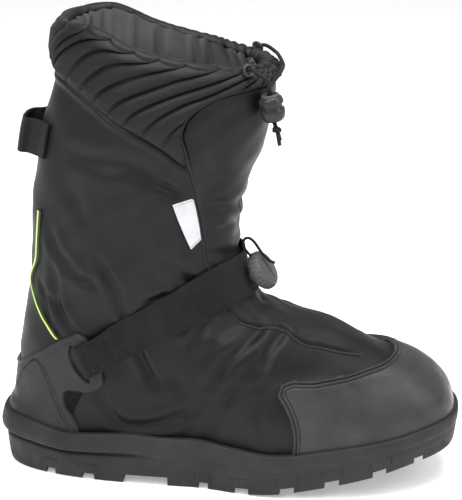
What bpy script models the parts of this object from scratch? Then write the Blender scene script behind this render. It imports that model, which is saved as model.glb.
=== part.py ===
# Winter overshoe, right boot, standing empty on its sole. Toe along +X, lateral side toward -Y, up is +Z.
import bmesh
import bpy
import numpy as np
from mathutils import Vector

for old in list(bpy.data.objects):
    bpy.data.objects.remove(old, do_unlink=True)
parts = bpy.data.collections.new("winter overshoe")
cutters = bpy.data.collections.new("cutters")
for group in (parts, cutters):
    bpy.context.scene.collection.children.link(group)

# Main sizes, in metres
SOLE_LENGTH = 0.330
BALL_WIDTH = 0.122
BOOT_HEIGHT = 0.330
TOE_SPRING = 0.028
CUP_FLOOR = 0.014
SIDEWALL = 0.005
SHELL_WALL = 0.0018
INSOLE = 0.004
CAP_OUT = 0.0028
COUNTER_OUT = 0.0030
STRAP_THICK = 0.0017
QUILT_PUFF = 0.0050
QUILT_BASE = 0.0020
FIT = 0.0004
OVERLAY_GAP = 0.0006
MM = 0.001

# Height of the toe spring along the sole: share of the length, share of TOE_SPRING
SPRING = [(0.0, 0.0), (0.52, 0.0), (0.60, 0.08), (0.70, 0.29), (0.80, 0.57), (0.90, 0.88), (0.96, 0.98), (1.0, 1.0)]

# Top edge of the sole's sidewall: share of the length, share of BOOT_HEIGHT
RIM = [(0.0, 0.124), (0.06, 0.122), (0.16, 0.107), (0.22, 0.112), (0.29, 0.117), (0.36, 0.113), (0.43, 0.114),
       (0.52, 0.105), (0.60, 0.099), (0.67, 0.106), (0.74, 0.118), (0.80, 0.128), (0.87, 0.140), (0.94, 0.153), (1.0, 0.155)]

# Middle line of the foot, toward the big toe: share of the length, share of BALL_WIDTH
MIDDLE = [(0.0, 0.0), (0.2, -0.004), (0.35, -0.012), (0.5, -0.016), (0.62, -0.004), (0.72, 0.008), (0.82, 0.022),
          (0.90, 0.030), (1.0, 0.044)]

# Rings of the shell, from the feather edge up to the collar, each a tilted plane seen from the side.
# back_x and front_x are shares of SOLE_LENGTH, back_z and front_z of BOOT_HEIGHT, follow is the share of the
# spring that the ring keeps, and heel, waist, ball and toe are half widths as shares of BALL_WIDTH.
RING_COLUMNS = ("back_x", "back_z", "front_x", "front_z", "follow", "heel", "waist", "ball", "toe")
RINGS = [
    (0.024, 0.043, 0.963, 0.128, 1.00, 0.268, 0.330, 0.428, 0.377),
    (0.018, 0.124, 0.971, 0.160, 1.00, 0.275, 0.340, 0.443, 0.389),
    (0.030, 0.155, 0.950, 0.212, 0.62, 0.279, 0.347, 0.447, 0.369),
    (0.036, 0.188, 0.897, 0.259, 0.32, 0.283, 0.344, 0.422, 0.300),
    (0.041, 0.227, 0.818, 0.289, 0.12, 0.287, 0.340, 0.377, 0.254),
    (0.044, 0.285, 0.724, 0.334, 0.00, 0.291, 0.344, 0.348, 0.213),
    (0.055, 0.339, 0.625, 0.361, 0.00, 0.295, 0.357, 0.337, 0.203),
    (0.068, 0.406, 0.556, 0.398, 0.00, 0.295, 0.377, 0.346, 0.224),
    (0.074, 0.470, 0.520, 0.461, 0.00, 0.291, 0.398, 0.369, 0.250),
    (0.080, 0.539, 0.514, 0.533, 0.00, 0.287, 0.410, 0.385, 0.262),
    (0.085, 0.606, 0.523, 0.606, 0.00, 0.283, 0.418, 0.398, 0.270),
    (0.093, 0.673, 0.545, 0.682, 0.00, 0.283, 0.422, 0.402, 0.270),
    (0.106, 0.752, 0.566, 0.758, 0.00, 0.283, 0.418, 0.398, 0.266),
    (0.124, 0.812, 0.576, 0.812, 0.00, 0.279, 0.402, 0.381, 0.258),
    (0.146, 0.879, 0.580, 0.861, 0.00, 0.270, 0.377, 0.357, 0.246),
    (0.164, 0.982, 0.556, 0.900, 0.00, 0.266, 0.365, 0.344, 0.238),
]
TOP = len(RINGS) - 1
WIDTH_STATIONS = (0.12, 0.42, 0.66, 0.88)
ROUNDNESS = 2.6
COLLAR_PEAK = 0.0075

scales = np.array([SOLE_LENGTH, BOOT_HEIGHT, SOLE_LENGTH, BOOT_HEIGHT, 1] + [BALL_WIDTH] * 4)
ringSizes = np.array(RINGS) * scales


def curve(table, share, size):
    """The smooth height of a table at these shares."""
    xs = np.array([row[0] for row in table])
    ys = np.array([row[1] for row in table])
    slopes = np.gradient(ys, xs)
    steps = np.diff(ys)
    slopes[1:-1] = np.where(steps[1:] * steps[:-1] <= 0, 0, slopes[1:-1])
    share = np.clip(share, xs[0], xs[-1])
    left = np.clip(np.searchsorted(xs, share) - 1, 0, len(xs) - 2)
    width = xs[left + 1] - xs[left]
    t = (share - xs[left]) / width
    hermite = (ys[left] * (2 * t**3 - 3 * t**2 + 1) + ys[left + 1] * (3 * t**2 - 2 * t**3)
               + width * (slopes[left] * (t**3 - 2 * t**2 + t) + slopes[left + 1] * (t**3 - t**2)))
    return hermite * size


def ringAt(v):
    """The ring columns at a level between the rings of the table."""
    v = np.clip(v, 0, TOP)
    low = np.clip(np.floor(v).astype(int), 0, TOP - 1)
    t = (v - low)[..., None]
    before, a, b, after = (ringSizes[np.clip(low + step, 0, TOP)] for step in (-1, 0, 1, 2))
    return a + 0.5 * t * (b - before + t * (2 * before - 5 * a + 4 * b - after + t * (3 * (a - b) + after - before)))


def around(share):
    return np.arccos(1 - 2 * np.clip(share, 0, 1)) / (2 * np.pi)


def side(s, v):
    """Place in the side view of the chord share s at level v."""
    ring = ringAt(v)
    x = ring[..., 0] + s * (ring[..., 2] - ring[..., 0])
    sag = curve(SPRING, x / SOLE_LENGTH, TOE_SPRING) - s * TOE_SPRING
    peak = COLLAR_PEAK * np.exp(-((s - 0.2) / 0.16)**2) * np.clip((v - TOP + 2.5) / 2.5, 0, 1)**2
    z = ring[..., 1] + s * (ring[..., 3] - ring[..., 1]) + ring[..., 4] * sag + peak
    return x, z


def skin(u, v):
    s = (1 - np.cos(2 * np.pi * u)) / 2
    x, z = side(s, v)
    ring = ringAt(v)
    bulge = (1 - np.abs(np.array(WIDTH_STATIONS) * 2 - 1)**ROUNDNESS)**(1 / ROUNDNESS)
    stations = ring[..., 5:9] / bulge
    left = np.clip(np.searchsorted(WIDTH_STATIONS, s) - 1, 0, 2)
    lows = np.array(WIDTH_STATIONS)[left]
    highs = np.array(WIDTH_STATIONS)[left + 1]
    t = np.clip((s - lows) / (highs - lows), 0, 1)
    t = t * t * (3 - 2 * t)
    lowWidth = np.take_along_axis(stations, left[..., None], -1)[..., 0]
    highWidth = np.take_along_axis(stations, left[..., None] + 1, -1)[..., 0]
    end = np.maximum(1 - np.abs(2 * s - 1)**ROUNDNESS, 0)**(1 / ROUNDNESS)
    half = end * (lowWidth + t * (highWidth - lowWidth))
    y = curve(MIDDLE, x / SOLE_LENGTH, BALL_WIDTH) - np.where(u % 1 <= 0.5, 1, -1) * half
    return np.stack([x, y, z], -1)


def surface(u, v, offset=0.0):
    """Points on the shell at angle share u (0 back, 0.25 lateral, 0.5 front) and level v, moved out by offset."""
    u, v = np.broadcast_arrays(np.asarray(u, float), np.asarray(v, float))
    along = skin(u + 0.004, v) - skin(u - 0.004, v)
    up = skin(u, np.minimum(v + 0.05, TOP)) - skin(u, np.maximum(v - 0.05, 0))
    normal = np.cross(along, up)
    normal /= np.linalg.norm(normal, axis=-1, keepdims=True)
    return skin(u, v) + normal * np.asarray(offset)[..., None]


def pin(x, z):
    """(u, v) on the lateral side of the shell at this place in the side view: shares of the length and the height."""
    grid_s, grid_v = np.meshgrid(np.linspace(0, 1, 81), np.linspace(0, TOP, 151))
    gx, gz = side(grid_s, grid_v)
    x, z = x * SOLE_LENGTH, z * BOOT_HEIGHT
    best = np.argmin((gx - x)**2 + (gz - z)**2)
    s, v = grid_s.flat[best], grid_v.flat[best]
    for _ in range(12):
        x0, z0 = side(np.array(s), np.array(v))
        xs, zs = side(np.array(s + 1e-4), np.array(v))
        xv, zv = side(np.array(s), np.array(v + 1e-3))
        slopes = np.array([[(xs - x0) / 1e-4, (xv - x0) / 1e-3], [(zs - z0) / 1e-4, (zv - z0) / 1e-3]])
        step = np.linalg.lstsq(slopes, np.array([x - x0, z - z0]), rcond=None)[0]
        s = float(np.clip(s + step[0], 0, 1))
        v = float(np.clip(v + step[1], 0, TOP))
    return float(around(s)), v


def crest(x):
    """The level where the vamp's front profile is at this share of the length."""
    levels = np.linspace(0.9, 8.5, 400)
    return float(levels[np.argmin(np.abs(ringAt(levels)[:, 2] - x * SOLE_LENGTH))])


def levelAt(height, column):
    """The level where the back (1) or front (3) of the rings is at this share of the height."""
    levels = np.linspace(1, TOP, 401)
    return float(np.interp(height * BOOT_HEIGHT, ringAt(levels)[:, column], levels))


def makeObject(name, points, faces):
    mesh = bpy.data.meshes.new(name)
    mesh.from_pydata([tuple(p) for p in points], [], faces)
    work = bmesh.new()
    work.from_mesh(mesh)
    bmesh.ops.remove_doubles(work, verts=work.verts, dist=1e-7)
    bmesh.ops.recalc_face_normals(work, faces=work.faces)
    work.to_mesh(mesh)
    work.free()
    made = bpy.data.objects.new(name, mesh)
    parts.objects.link(made)
    return made


def shellBetween(name, outer, inner, closed=False):
    """A closed body between two grids of points, rows upward and columns along u."""
    rows, cols = outer.shape[:2]
    points = np.concatenate([outer.reshape(-1, 3), inner.reshape(-1, 3)])
    inside = rows * cols
    faces = []
    steps = cols if closed else cols - 1
    for j in range(rows - 1):
        for i in range(steps):
            a, b = j * cols + i, j * cols + (i + 1) % cols
            faces.append((a, b, b + cols))
            faces.append((a, b + cols, a + cols))
            faces.append((inside + a, inside + b + cols, inside + b))
            faces.append((inside + a, inside + a + cols, inside + b + cols))
    last = (rows - 1) * cols
    for i in range(steps):
        a, b = i, (i + 1) % cols
        faces.append((b, a, inside + a, inside + b))
        faces.append((last + a, last + b, inside + last + b, inside + last + a))
    if not closed:
        for j in range(rows - 1):
            a, b = j * cols, (j + 1) * cols
            faces.append((a, b, inside + b, inside + a))
            c, d = a + cols - 1, b + cols - 1
            faces.append((d, c, inside + c, inside + d))
    return makeObject(name, points, faces)


def spread(columns, count):
    """Smooth columns between given ones: each is a flat list of numbers."""
    columns = np.array(columns, float)
    lengths = np.concatenate([[0], np.cumsum(np.linalg.norm(np.diff(columns * np.array([10, 1] * (columns.shape[1] // 2)),
                                                                    axis=0), axis=1))])
    wanted = np.linspace(0, lengths[-1], count)
    return np.stack([np.interp(wanted, lengths, columns[:, k]) for k in range(columns.shape[1])], -1)


def mirrored(columns):
    """The lateral columns followed by their mirror on the medial side."""
    other = columns[::-1].copy()
    other[:, 0::2] = 1 - other[:, 0::2]
    return np.concatenate([columns, other[1:]])


def tube(name, path, radius):
    line = bpy.data.curves.new(name, "CURVE")
    line.dimensions = "3D"
    line.bevel_depth = radius
    line.bevel_resolution = 2
    line.use_fill_caps = True
    spline = line.splines.new("POLY")
    spline.points.add(len(path) - 1)
    for point, place in zip(spline.points, path):
        point.co = (*place, 1)
    made = bpy.data.objects.new(name, line)
    parts.objects.link(made)
    return made


def smoothPath(points, steps=5):
    points = np.array(points, float)
    padded = np.concatenate([2 * points[:1] - points[1:2], points, 2 * points[-1:] - points[-2:-1]])
    found = []
    for i in range(1, len(padded) - 2):
        p0, p1, p2, p3 = padded[i - 1:i + 3]
        for t in np.linspace(0, 1, steps, endpoint=False):
            found.append(p1 + 0.5 * t * (p2 - p0 + t * (2 * p0 - 5 * p1 + 4 * p2 - p3 + t * (3 * (p1 - p2) + p3 - p0))))
    found.append(points[-1])
    return np.array(found)


def turned(name, profile, centre, axis, sides):
    """A turned body: the profile is (radius, height) down its outer side, and a closed loop where it has a bore."""
    count = len(profile)
    edges = [(i, i + 1) for i in range(count - 1)]
    if profile[0][0] > 0:
        edges.append((count - 1, 0))
    mesh = bpy.data.meshes.new(name)
    mesh.from_pydata([(radius, 0, height) for radius, height in profile], edges, [])
    made = bpy.data.objects.new(name, mesh)
    parts.objects.link(made)
    turn = made.modifiers.new("turn", "SCREW")
    turn.steps = turn.render_steps = sides
    turn.use_merge_vertices = True
    turn.merge_threshold = 0.00001
    made.location = centre
    made.rotation_euler = Vector(axis).to_track_quat("Z", "Y").to_euler()
    return made


def joinBy(target, other, operation):
    change = target.modifiers.new(operation.lower() + other.name, "BOOLEAN")
    change.object = other
    change.operation = operation
    change.solver = "EXACT"
    other.hide_render = True
    other.display_type = "WIRE"
    parts.objects.unlink(other)
    cutters.objects.link(other)
    return change


def rimHeight(x):
    return curve(RIM, x / SOLE_LENGTH, BOOT_HEIGHT)


def springHeight(x):
    return curve(SPRING, x / SOLE_LENGTH, TOE_SPRING)


# Outsole: rows of the moulded cup from the tread plane up the sidewall, over the rim and down inside.
# out is how far the row stands from the shell, and heelOut how much more at the heel's ledge, as shares of SIDEWALL.
# height runs from 0 at the ground line to 1 at the rim.
SOLE_ROWS = [
    {"out": 0.44, "heelOut": -0.20, "height": 0.0},
    {"out": 0.72, "heelOut": -0.08, "height": 0.09},
    {"out": 0.92, "heelOut": 0.04, "height": 0.50},
    {"out": 0.86, "heelOut": 0.00, "height": 0.58},
    {"out": 1.04, "heelOut": 0.52, "height": 0.64},
    {"out": 1.16, "heelOut": 0.56, "height": 0.76},
    {"out": 1.18, "heelOut": 0.12, "height": 0.96},
    {"out": 1.02, "heelOut": 0.06, "height": 1.0},
]
SOLE_STEPS = 88
soleU = np.arange(SOLE_STEPS) / SOLE_STEPS
feather = surface(soleU, np.full(SOLE_STEPS, 1.0))
outward = surface(soleU, np.full(SOLE_STEPS, 1.0), 0.001) - feather
outward[:, 2] = 0
outward /= np.linalg.norm(outward, axis=1, keepdims=True)
atHeel = np.clip(1 - feather[:, 0] / (0.34 * SOLE_LENGTH), 0, 1)**0.7
loops = []
for row in SOLE_ROWS:
    loop = feather + outward * ((row["out"] + row["heelOut"] * atHeel) * SIDEWALL)[:, None]
    low, high = springHeight(feather[:, 0]), rimHeight(feather[:, 0])
    loop[:, 2] = low + row["height"] * (high - low)
    loops.append(loop)
innerTop = surface(soleU, np.full(SOLE_STEPS, 1.0), 2.4 * FIT)
innerTop[:, 2] = rimHeight(feather[:, 0]) - 0.0002
bottomU = surface(soleU, np.full(SOLE_STEPS, 0.0), 1.6 * FIT)
innerLow = bottomU.copy()
innerLow[:, 2] = CUP_FLOOR + springHeight(bottomU[:, 0])
loops += [innerTop, 0.5 * (innerTop + innerLow), innerLow]
solePoints = np.concatenate(loops)
soleFaces = []
for j in range(len(loops) - 1):
    for i in range(SOLE_STEPS):
        a, b = j * SOLE_STEPS + i, j * SOLE_STEPS + (i + 1) % SOLE_STEPS
        soleFaces.append((a, b, b + SOLE_STEPS, a + SOLE_STEPS))
lastLoop = (len(loops) - 1) * SOLE_STEPS
for i in range(SOLE_STEPS // 2):
    near, nearNext = i, i + 1
    far, farNext = (SOLE_STEPS - i) % SOLE_STEPS, SOLE_STEPS - i - 1
    under = [near, far, farNext, nearNext]
    over = [lastLoop + k for k in (near, nearNext, farNext, far)]
    soleFaces.append(tuple(dict.fromkeys(under)))
    soleFaces.append(tuple(dict.fromkeys(over)))
outsole = makeObject("outsole", solePoints, soleFaces)

# Tread: grooves across the sole, each from one share of the length to another, with the share of CUP_FLOOR it is deep
CROSS_GROOVES = [(0.1061, 0.1273, 0.36), (0.1879, 0.2152, 0.36), (0.2788, 0.3758, 0.50),
    (0.4424, 0.4636, 0.36), (0.5212, 0.5515, 0.36), (0.6182, 0.6485, 0.36), (0.7121, 0.7424, 0.36),
    (0.8121, 0.8394, 0.32), (0.897, 0.9152, 0.29)]
LONG_GROOVES = [(-0.13, -0.085), (0.085, 0.13)]


def grooveCutter(name, x0, x1, y0, y1, depth, pieces):
    xs = np.linspace(x0, x1, pieces + 1)
    heights = springHeight(xs)
    rows = [np.array([[x, y0, h], [x, y1, h]]) for x, h in zip(xs, heights)]
    low = np.array(rows) - np.array([0, 0, 1.4 * CUP_FLOOR])
    high = np.array(rows) + np.array([0, 0, depth])
    return shellBetween(name, high.transpose(1, 0, 2), low.transpose(1, 0, 2))


for index, (start, end, deep) in enumerate(CROSS_GROOVES):
    cutter = grooveCutter(f"cross_groove_{index}", start * SOLE_LENGTH, end * SOLE_LENGTH, -0.74 * BALL_WIDTH,
                          0.74 * BALL_WIDTH, deep * CUP_FLOOR, 2)
    joinBy(outsole, cutter, "DIFFERENCE")
for index, (start, end) in enumerate(LONG_GROOVES):
    cutter = grooveCutter(f"long_groove_{index}", 0.091 * SOLE_LENGTH, 0.909 * SOLE_LENGTH, start * BALL_WIDTH,
                          end * BALL_WIDTH, 0.3 * CUP_FLOOR, 12)
    joinBy(outsole, cutter, "DIFFERENCE")

# Upper: one shell with a wall, open underneath and at the collar
UPPER_STEPS = 44
upperU = np.arange(UPPER_STEPS) / UPPER_STEPS
upperV = np.array([0.02, 0.5, 1, 1.6, 2.2, 2.9, 3.6, 4.3, 5, 5.8, 6.6, 7.4, 8.4, 9.4, 10.4, 11.4, 12.4, 13.2, 14, 14.6, TOP])
gridU, gridV = np.meshgrid(upperU, upperV)
upper = shellBetween("upper", surface(gridU, gridV), surface(gridU, gridV, -SHELL_WALL), closed=True)

# Insole, lying on the floor of the cup inside the shell
insoleU = np.arange(48) / 48
insoleRing = surface(insoleU, np.full(48, 0.12), -SHELL_WALL - 2 * FIT)
insoleLoops = []
for lift in (FIT, FIT + INSOLE):
    loop = insoleRing.copy()
    loop[:, 2] = CUP_FLOOR + springHeight(loop[:, 0]) + lift
    insoleLoops.append(loop)
insolePoints = np.concatenate(insoleLoops)
insoleFaces = [(i, (i + 1) % 48, 48 + (i + 1) % 48, 48 + i) for i in range(48)]
for i in range(24):
    under = [i, (48 - i) % 48, 47 - i, i + 1]
    over = [48 + i, 49 + i if i < 47 else 48, 48 + 47 - i, 48 + (48 - i) % 48]
    insoleFaces.append(tuple(dict.fromkeys(under)))
    insoleFaces.append(tuple(dict.fromkeys(over)))
insole = makeObject("insole", insolePoints, insoleFaces)


def band(name, columns, rows, inside, outside, edge=None):
    """An overlay from columns of (u, v) bottom and (u, v) top: inside and outside are how far it stands off."""
    t = np.array(rows)[:, None]
    u = columns[None, :, 0] + t * (columns[None, :, 2] - columns[None, :, 0])
    v = columns[None, :, 1] + t * (columns[None, :, 3] - columns[None, :, 1])
    lift = np.full(u.shape, outside)
    if edge is not None:
        lift = lift + edge
    return shellBetween(name, surface(u, v, lift), surface(u, v, inside))


def rimLevel(u, above=0.0004):
    """The level at which the shell stands just over the sole's rim."""
    levels = np.linspace(0.6, 2.2, 161)
    points = skin(np.full(161, u), levels)
    return float(np.interp(0, points[:, 2] - rimHeight(points[:, 0]) - above, levels))


def footed(x, top):
    """A column that starts on the rim under x and ends at top, a (u, v) pair."""
    u = pin(x, rimHeight(x * SOLE_LENGTH) / BOOT_HEIGHT)[0]
    return [u, rimLevel(u)] + list(top)


# Toe cap: foot of each column on the rim, then the top edge, as shares of the length and height
TOE_CAP = [(0.6424, 0.6091, 0.2273), (0.6545, 0.6152, 0.247), (0.6788, 0.6364, 0.253),
    (0.7273, 0.6818, 0.25), (0.7909, 0.7455, 0.2561), (0.8606, 0.7848, 0.2636)]
capColumns = [footed(foot, pin(x, z)) for foot, x, z in TOE_CAP]
capColumns.append([0.43, rimLevel(0.43), 0.432, crest(0.853)])
capColumns.append([0.47, rimLevel(0.47), 0.470, crest(0.847)])
capColumns.append([0.5, rimLevel(0.5), 0.5, crest(0.8455)])
capColumns = mirrored(spread(capColumns, 16))
capRows = (0, 0.2, 0.45, 0.7, 0.87, 0.93, 1.0)
capEdge = np.array([0, 0, 0, 0, 0, 0.0007, 0.0006])[:, None] * np.ones((1, len(capColumns)))
toe_cap = band("toe_cap", capColumns, capRows, 2 * FIT, CAP_OUT, capEdge)

# Heel counter: foot and top of each column from the back round to the wing
COUNTER = [(0.1848, 0.1139, 0.1879, 0.3409), (0.1924, 0.1606, 0.1945, 0.34), (0.2, 0.2015, 0.2015, 0.337),
    (0.2182, 0.2091, 0.2121, 0.3273), (0.2348, 0.2212, 0.2273, 0.297), (0.2424, 0.2364, 0.2394, 0.2636)]
COUNTER_BACK = [(0.0606, 0.2515), (0.0939, 0.2788), (0.1212, 0.3), (0.1394, 0.3152), (0.1667, 0.3303)]
counterRows = (0, 0.12, 0.3, 0.5, 0.7, 0.88, 1.0)
counterSides = [(x, rimHeight(x * SOLE_LENGTH) / BOOT_HEIGHT + 0.0012, x, z) for x, z in COUNTER_BACK] + COUNTER
counterTable = np.array(counterSides, float)
smoothSides = np.concatenate([spread(counterTable[:6], 9), counterTable[6:]])
backLow, backHigh = levelAt(0.1255, 1), levelAt(0.2333, 1)
counterGrid = []
for t in counterRows:
    row = [(0.0, backLow + t * (backHigh - backLow))]
    for x0, z0, x1, z1 in smoothSides:
        row.append(pin(x0 + t * (x1 - x0), z0 + t * (z1 - z0)))
    between = [(k / UPPER_STEPS, np.interp(k / UPPER_STEPS, [0, row[1][0]], [row[0][1], row[1][1]]))
               for k in (0.5, 1, 1.5, 2)]
    row[1:1] = between
    counterGrid.append([(-u, v) for u, v in row[:0:-1]] + row)
counterGrid = np.array(counterGrid)
heel_counter = shellBetween("heel_counter", surface(counterGrid[..., 0], counterGrid[..., 1], COUNTER_OUT),
                            surface(counterGrid[..., 0], counterGrid[..., 1], OVERLAY_GAP))

# Slots of the counter's wings, and the strap that goes over the wing's bar
SLOT_TOP = (0.1773, 0.3091)
SLOT_END = (0.2045, 0.2333)
for side_name, turn in (("lateral", 1), ("medial", -1)):
    ends = np.array([pin(*SLOT_TOP), pin(*SLOT_END)])
    levels = np.linspace(0, 1, 4)[:, None]
    line = ends[0] + levels * (ends[1] - ends[0])
    low, high = surface(turn * line[:, 0], line[:, 1], -0.003), surface(turn * line[:, 0], line[:, 1], 0.008)
    sideways = np.array([0.0021, 0, 0.0007])
    outerRows = np.stack([high - sideways, high + sideways])
    innerRows = np.stack([low - sideways, low + sideways])
    slot = shellBetween(f"slot_{side_name}", outerRows, innerRows)
    joinBy(heel_counter, slot, "DIFFERENCE")

# Instep strap: lower and upper edge points in the side view, from the slot to the instep, with its lift as a share
# of COUNTER_OUT
STRAP = [(0.2042, 0.2409, 0.18, 0.3061, 0.40), (0.2097, 0.2427, 0.1848, 0.31, 1.30),
    (0.2303, 0.2545, 0.2061, 0.3258, 1.30), (0.2545, 0.2682, 0.2303, 0.3409, 1.27),
    (0.2788, 0.2818, 0.2545, 0.3591, 0.73), (0.303, 0.297, 0.2788, 0.3758, 0.60),
    (0.3455, 0.3212, 0.3212, 0.4015, 0.57), (0.3879, 0.3439, 0.3606, 0.4258, 0.57),
    (0.4303, 0.3667, 0.4061, 0.453, 0.60), (0.4667, 0.3864, 0.4485, 0.4773, 0.67),
    (0.5, 0.3985, 0.4848, 0.4939, 0.83), (0.5273, 0.4061, 0.5091, 0.4985, 0.97)]
strapColumns = []
strapLift = []
for x0, z0, x1, z1, lift in STRAP:
    strapColumns.append(list(pin(x0, z0)) + list(pin(x1, z1)))
    strapLift.append(lift * COUNTER_OUT)
strapColumns.append([0.5, levelAt(0.4061, 3), 0.5, levelAt(0.4939, 3)])
strapLift.append(1.07 * COUNTER_OUT)
strapColumns = mirrored(np.array(strapColumns))
strapLift = np.array(strapLift + strapLift[-2::-1])
strapThick = np.full(len(strapLift), STRAP_THICK)
strapThick[2:6] = strapThick[-6:-2] = 1.76 * STRAP_THICK
t = np.linspace(0, 1, 5)[:, None]
strapU = strapColumns[None, :, 0] + t * (strapColumns[None, :, 2] - strapColumns[None, :, 0])
strapV = strapColumns[None, :, 1] + t * (strapColumns[None, :, 3] - strapColumns[None, :, 1])
strapLow = surface(strapU, strapV, strapLift[None, :] * np.ones((5, 1)))
strapHigh = surface(strapU, strapV, (strapLift + strapThick)[None, :] * np.ones((5, 1)))
instep_strap = shellBetween("instep_strap", strapHigh, strapLow)

# Quilted collar: slanting channels all round, each rib between two lines from the lower seam up to the rim, in
# shares of the length and height. The front panel's curved edge is cut out of it.
SEAM = [(0.1152, 0.8879), (0.1515, 0.8818), (0.1758, 0.8727), (0.2, 0.8576), (0.2303, 0.8394),
    (0.2606, 0.8197), (0.2909, 0.8), (0.3212, 0.7848), (0.3545, 0.7667), (0.3848, 0.747), (0.4182, 0.7182),
    (0.4606, 0.703), (0.5152, 0.6909)]
RIB_FEET = (0.1576, 0.1848, 0.2121, 0.2394, 0.2697, 0.3)
RIB_TOPS = (0.2788, 0.3242, 0.3697, 0.4212, 0.4788, 0.5242)
FRONT_FEET = ((0.3364, 0.435), (0.3758, 0.457), (0.4182, 0.474), (0.4606, 0.486), (0.5152, 0.494))
PANEL_EDGE = [(0.4273, 0.7182), (0.4212, 0.7455), (0.4136, 0.7788), (0.4227, 0.8091), (0.447, 0.8348),
    (0.4818, 0.853), (0.5242, 0.8606), (0.6667, 0.8697)]
RIB_STEPS = 3


def seamPoint(x):
    return pin(x, np.interp(x, [row[0] for row in SEAM], [row[1] for row in SEAM]))


def rimPoint(x):
    shares = np.linspace(0, 1, 201)
    return float(around(np.interp(x * SOLE_LENGTH, side(shares, np.full(201, float(TOP)))[0], shares))), float(TOP)


seamBack = levelAt(0.8879, 1)
ribLines = [[0.0, seamBack, 0.0, TOP], [0.024, seamBack, *rimPoint(0.188)], [0.048, seamBack, *rimPoint(0.233)]]
ribLines += [[*seamPoint(foot), *rimPoint(top)] for foot, top in zip(RIB_FEET, RIB_TOPS)]
ribLines += [[*seamPoint(foot), top, TOP] for foot, top in FRONT_FEET]
ribLines = np.array(ribLines + [[0.5, levelAt(0.6879, 3), 0.5, TOP]])


def collarGrid(ribSteps, rows):
    """Angles, levels and lifts of the collar's outer face, all the way round."""
    columns = []
    puffs = []
    for k in range(len(ribLines) - 1):
        for step in range(ribSteps):
            t = step / ribSteps
            columns.append(ribLines[k] + t * (ribLines[k + 1] - ribLines[k]))
            puffs.append(np.sin(np.pi * t)**0.7)
    columns.append(ribLines[-1])
    puffs.append(0.0)
    columns, puffs = np.array(columns), np.array(puffs)
    columns = np.concatenate([columns, columns[-2:0:-1] * np.array([-1, 1, -1, 1]) + np.array([1, 0, 1, 0])])
    puffs = np.concatenate([puffs, puffs[-2:0:-1]])
    t = np.array(rows)[:, None]
    u = columns[:, 0] + t**1.2 * (columns[:, 2] - columns[:, 0])
    v = columns[:, 1] + t * (columns[:, 3] - columns[:, 1])
    fade = np.interp(rows, [0, 0.12, 0.3, 0.8, 0.93, 1.0], [0.15, 0.55, 0.9, 1.0, 0.85, 0.5])[:, None]
    return u, v, (QUILT_BASE + QUILT_PUFF * puffs) * fade + QUILT_BASE


collarU, collarV, collarLift = collarGrid(RIB_STEPS, (0, 0.1, 0.27, 0.45, 0.63, 0.8, 0.93, 1.0))
quilted_collar = shellBetween("quilted_collar", surface(collarU, collarV, collarLift),
                              surface(collarU, collarV, 0.0014), closed=True)
edgeShape = np.array(PANEL_EDGE) * (SOLE_LENGTH, BOOT_HEIGHT)
panelSide = np.full(len(edgeShape), -0.74 * BALL_WIDTH)
panelLow = np.stack([edgeShape[:, 0], panelSide, np.full(len(edgeShape), 0.606 * BOOT_HEIGHT)], 1)
panelHigh = np.stack([edgeShape[:, 0], panelSide, edgeShape[:, 1]], 1)
panelLow[:, 0] = np.linspace(0.427, 0.667, len(edgeShape)) * SOLE_LENGTH
nearSide = np.stack([panelLow, panelHigh])
front_panel = shellBetween("front_panel_cut", nearSide, nearSide + np.array([0, 1.48 * BALL_WIDTH, 0]))
joinBy(quilted_collar, front_panel, "DIFFERENCE")


def ring(name, centre, axis, outside, hole, thick, sides=20):
    """A washer round a hole."""
    profile = [(outside, thick / 2), (outside, -thick / 2), (hole, -thick / 2), (hole, thick / 2)]
    return turned(name, profile, centre, axis, sides)


def seat(u, v, lift):
    """A point over the shell and the way out of it."""
    point = surface(u, v, lift)
    away = surface(u, v, lift + 0.001) - point
    return point, away / np.linalg.norm(away)


# Reflective piping down the two back seams, from over the heel counter
PIPING = [(0.1439, 0.3212), (0.1273, 0.3455), (0.1091, 0.3727), (0.0955, 0.403), (0.0864, 0.4394),
    (0.0803, 0.4848), (0.0782, 0.5333), (0.0818, 0.5939)]
for side_name, turn in (("lateral", 1), ("medial", -1)):
    marks = smoothPath([pin(x, z) if z < 0.4545 else (0.062 + z * 0.033, levelAt(z, 1)) for x, z in PIPING], 3)
    along = np.gradient(marks * np.array([0.4, 0.022]), axis=0)
    along /= np.linalg.norm(along, axis=1, keepdims=True)
    across = np.stack([along[:, 1] / 0.4, -along[:, 0] / 0.022], 1) * 0.0011
    edges = np.stack([marks - across, marks + across])
    piping = shellBetween(f"piping_{side_name}", surface(turn * edges[..., 0], edges[..., 1], 0.0016),
                          surface(turn * edges[..., 0], edges[..., 1], OVERLAY_GAP))

# Bare woven label on the lateral seam
LABEL = [(0.4591, 0.5591), (0.4273, 0.5348), (0.4394, 0.647), (0.3955, 0.6364)]
corners = np.array([pin(x, z) for x, z in LABEL])
t = np.linspace(0, 1, 7)[:, None]
labelRight = corners[0] + t * (corners[2] - corners[0])
labelLeft = corners[1] + t * (corners[3] - corners[1])
labelGrid = np.stack([labelLeft, 0.5 * (labelLeft + labelRight), labelRight], 1)
side_label = shellBetween("side_label", surface(labelGrid[..., 0], labelGrid[..., 1], 0.0012),
                          surface(labelGrid[..., 0], labelGrid[..., 1], OVERLAY_GAP))

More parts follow.
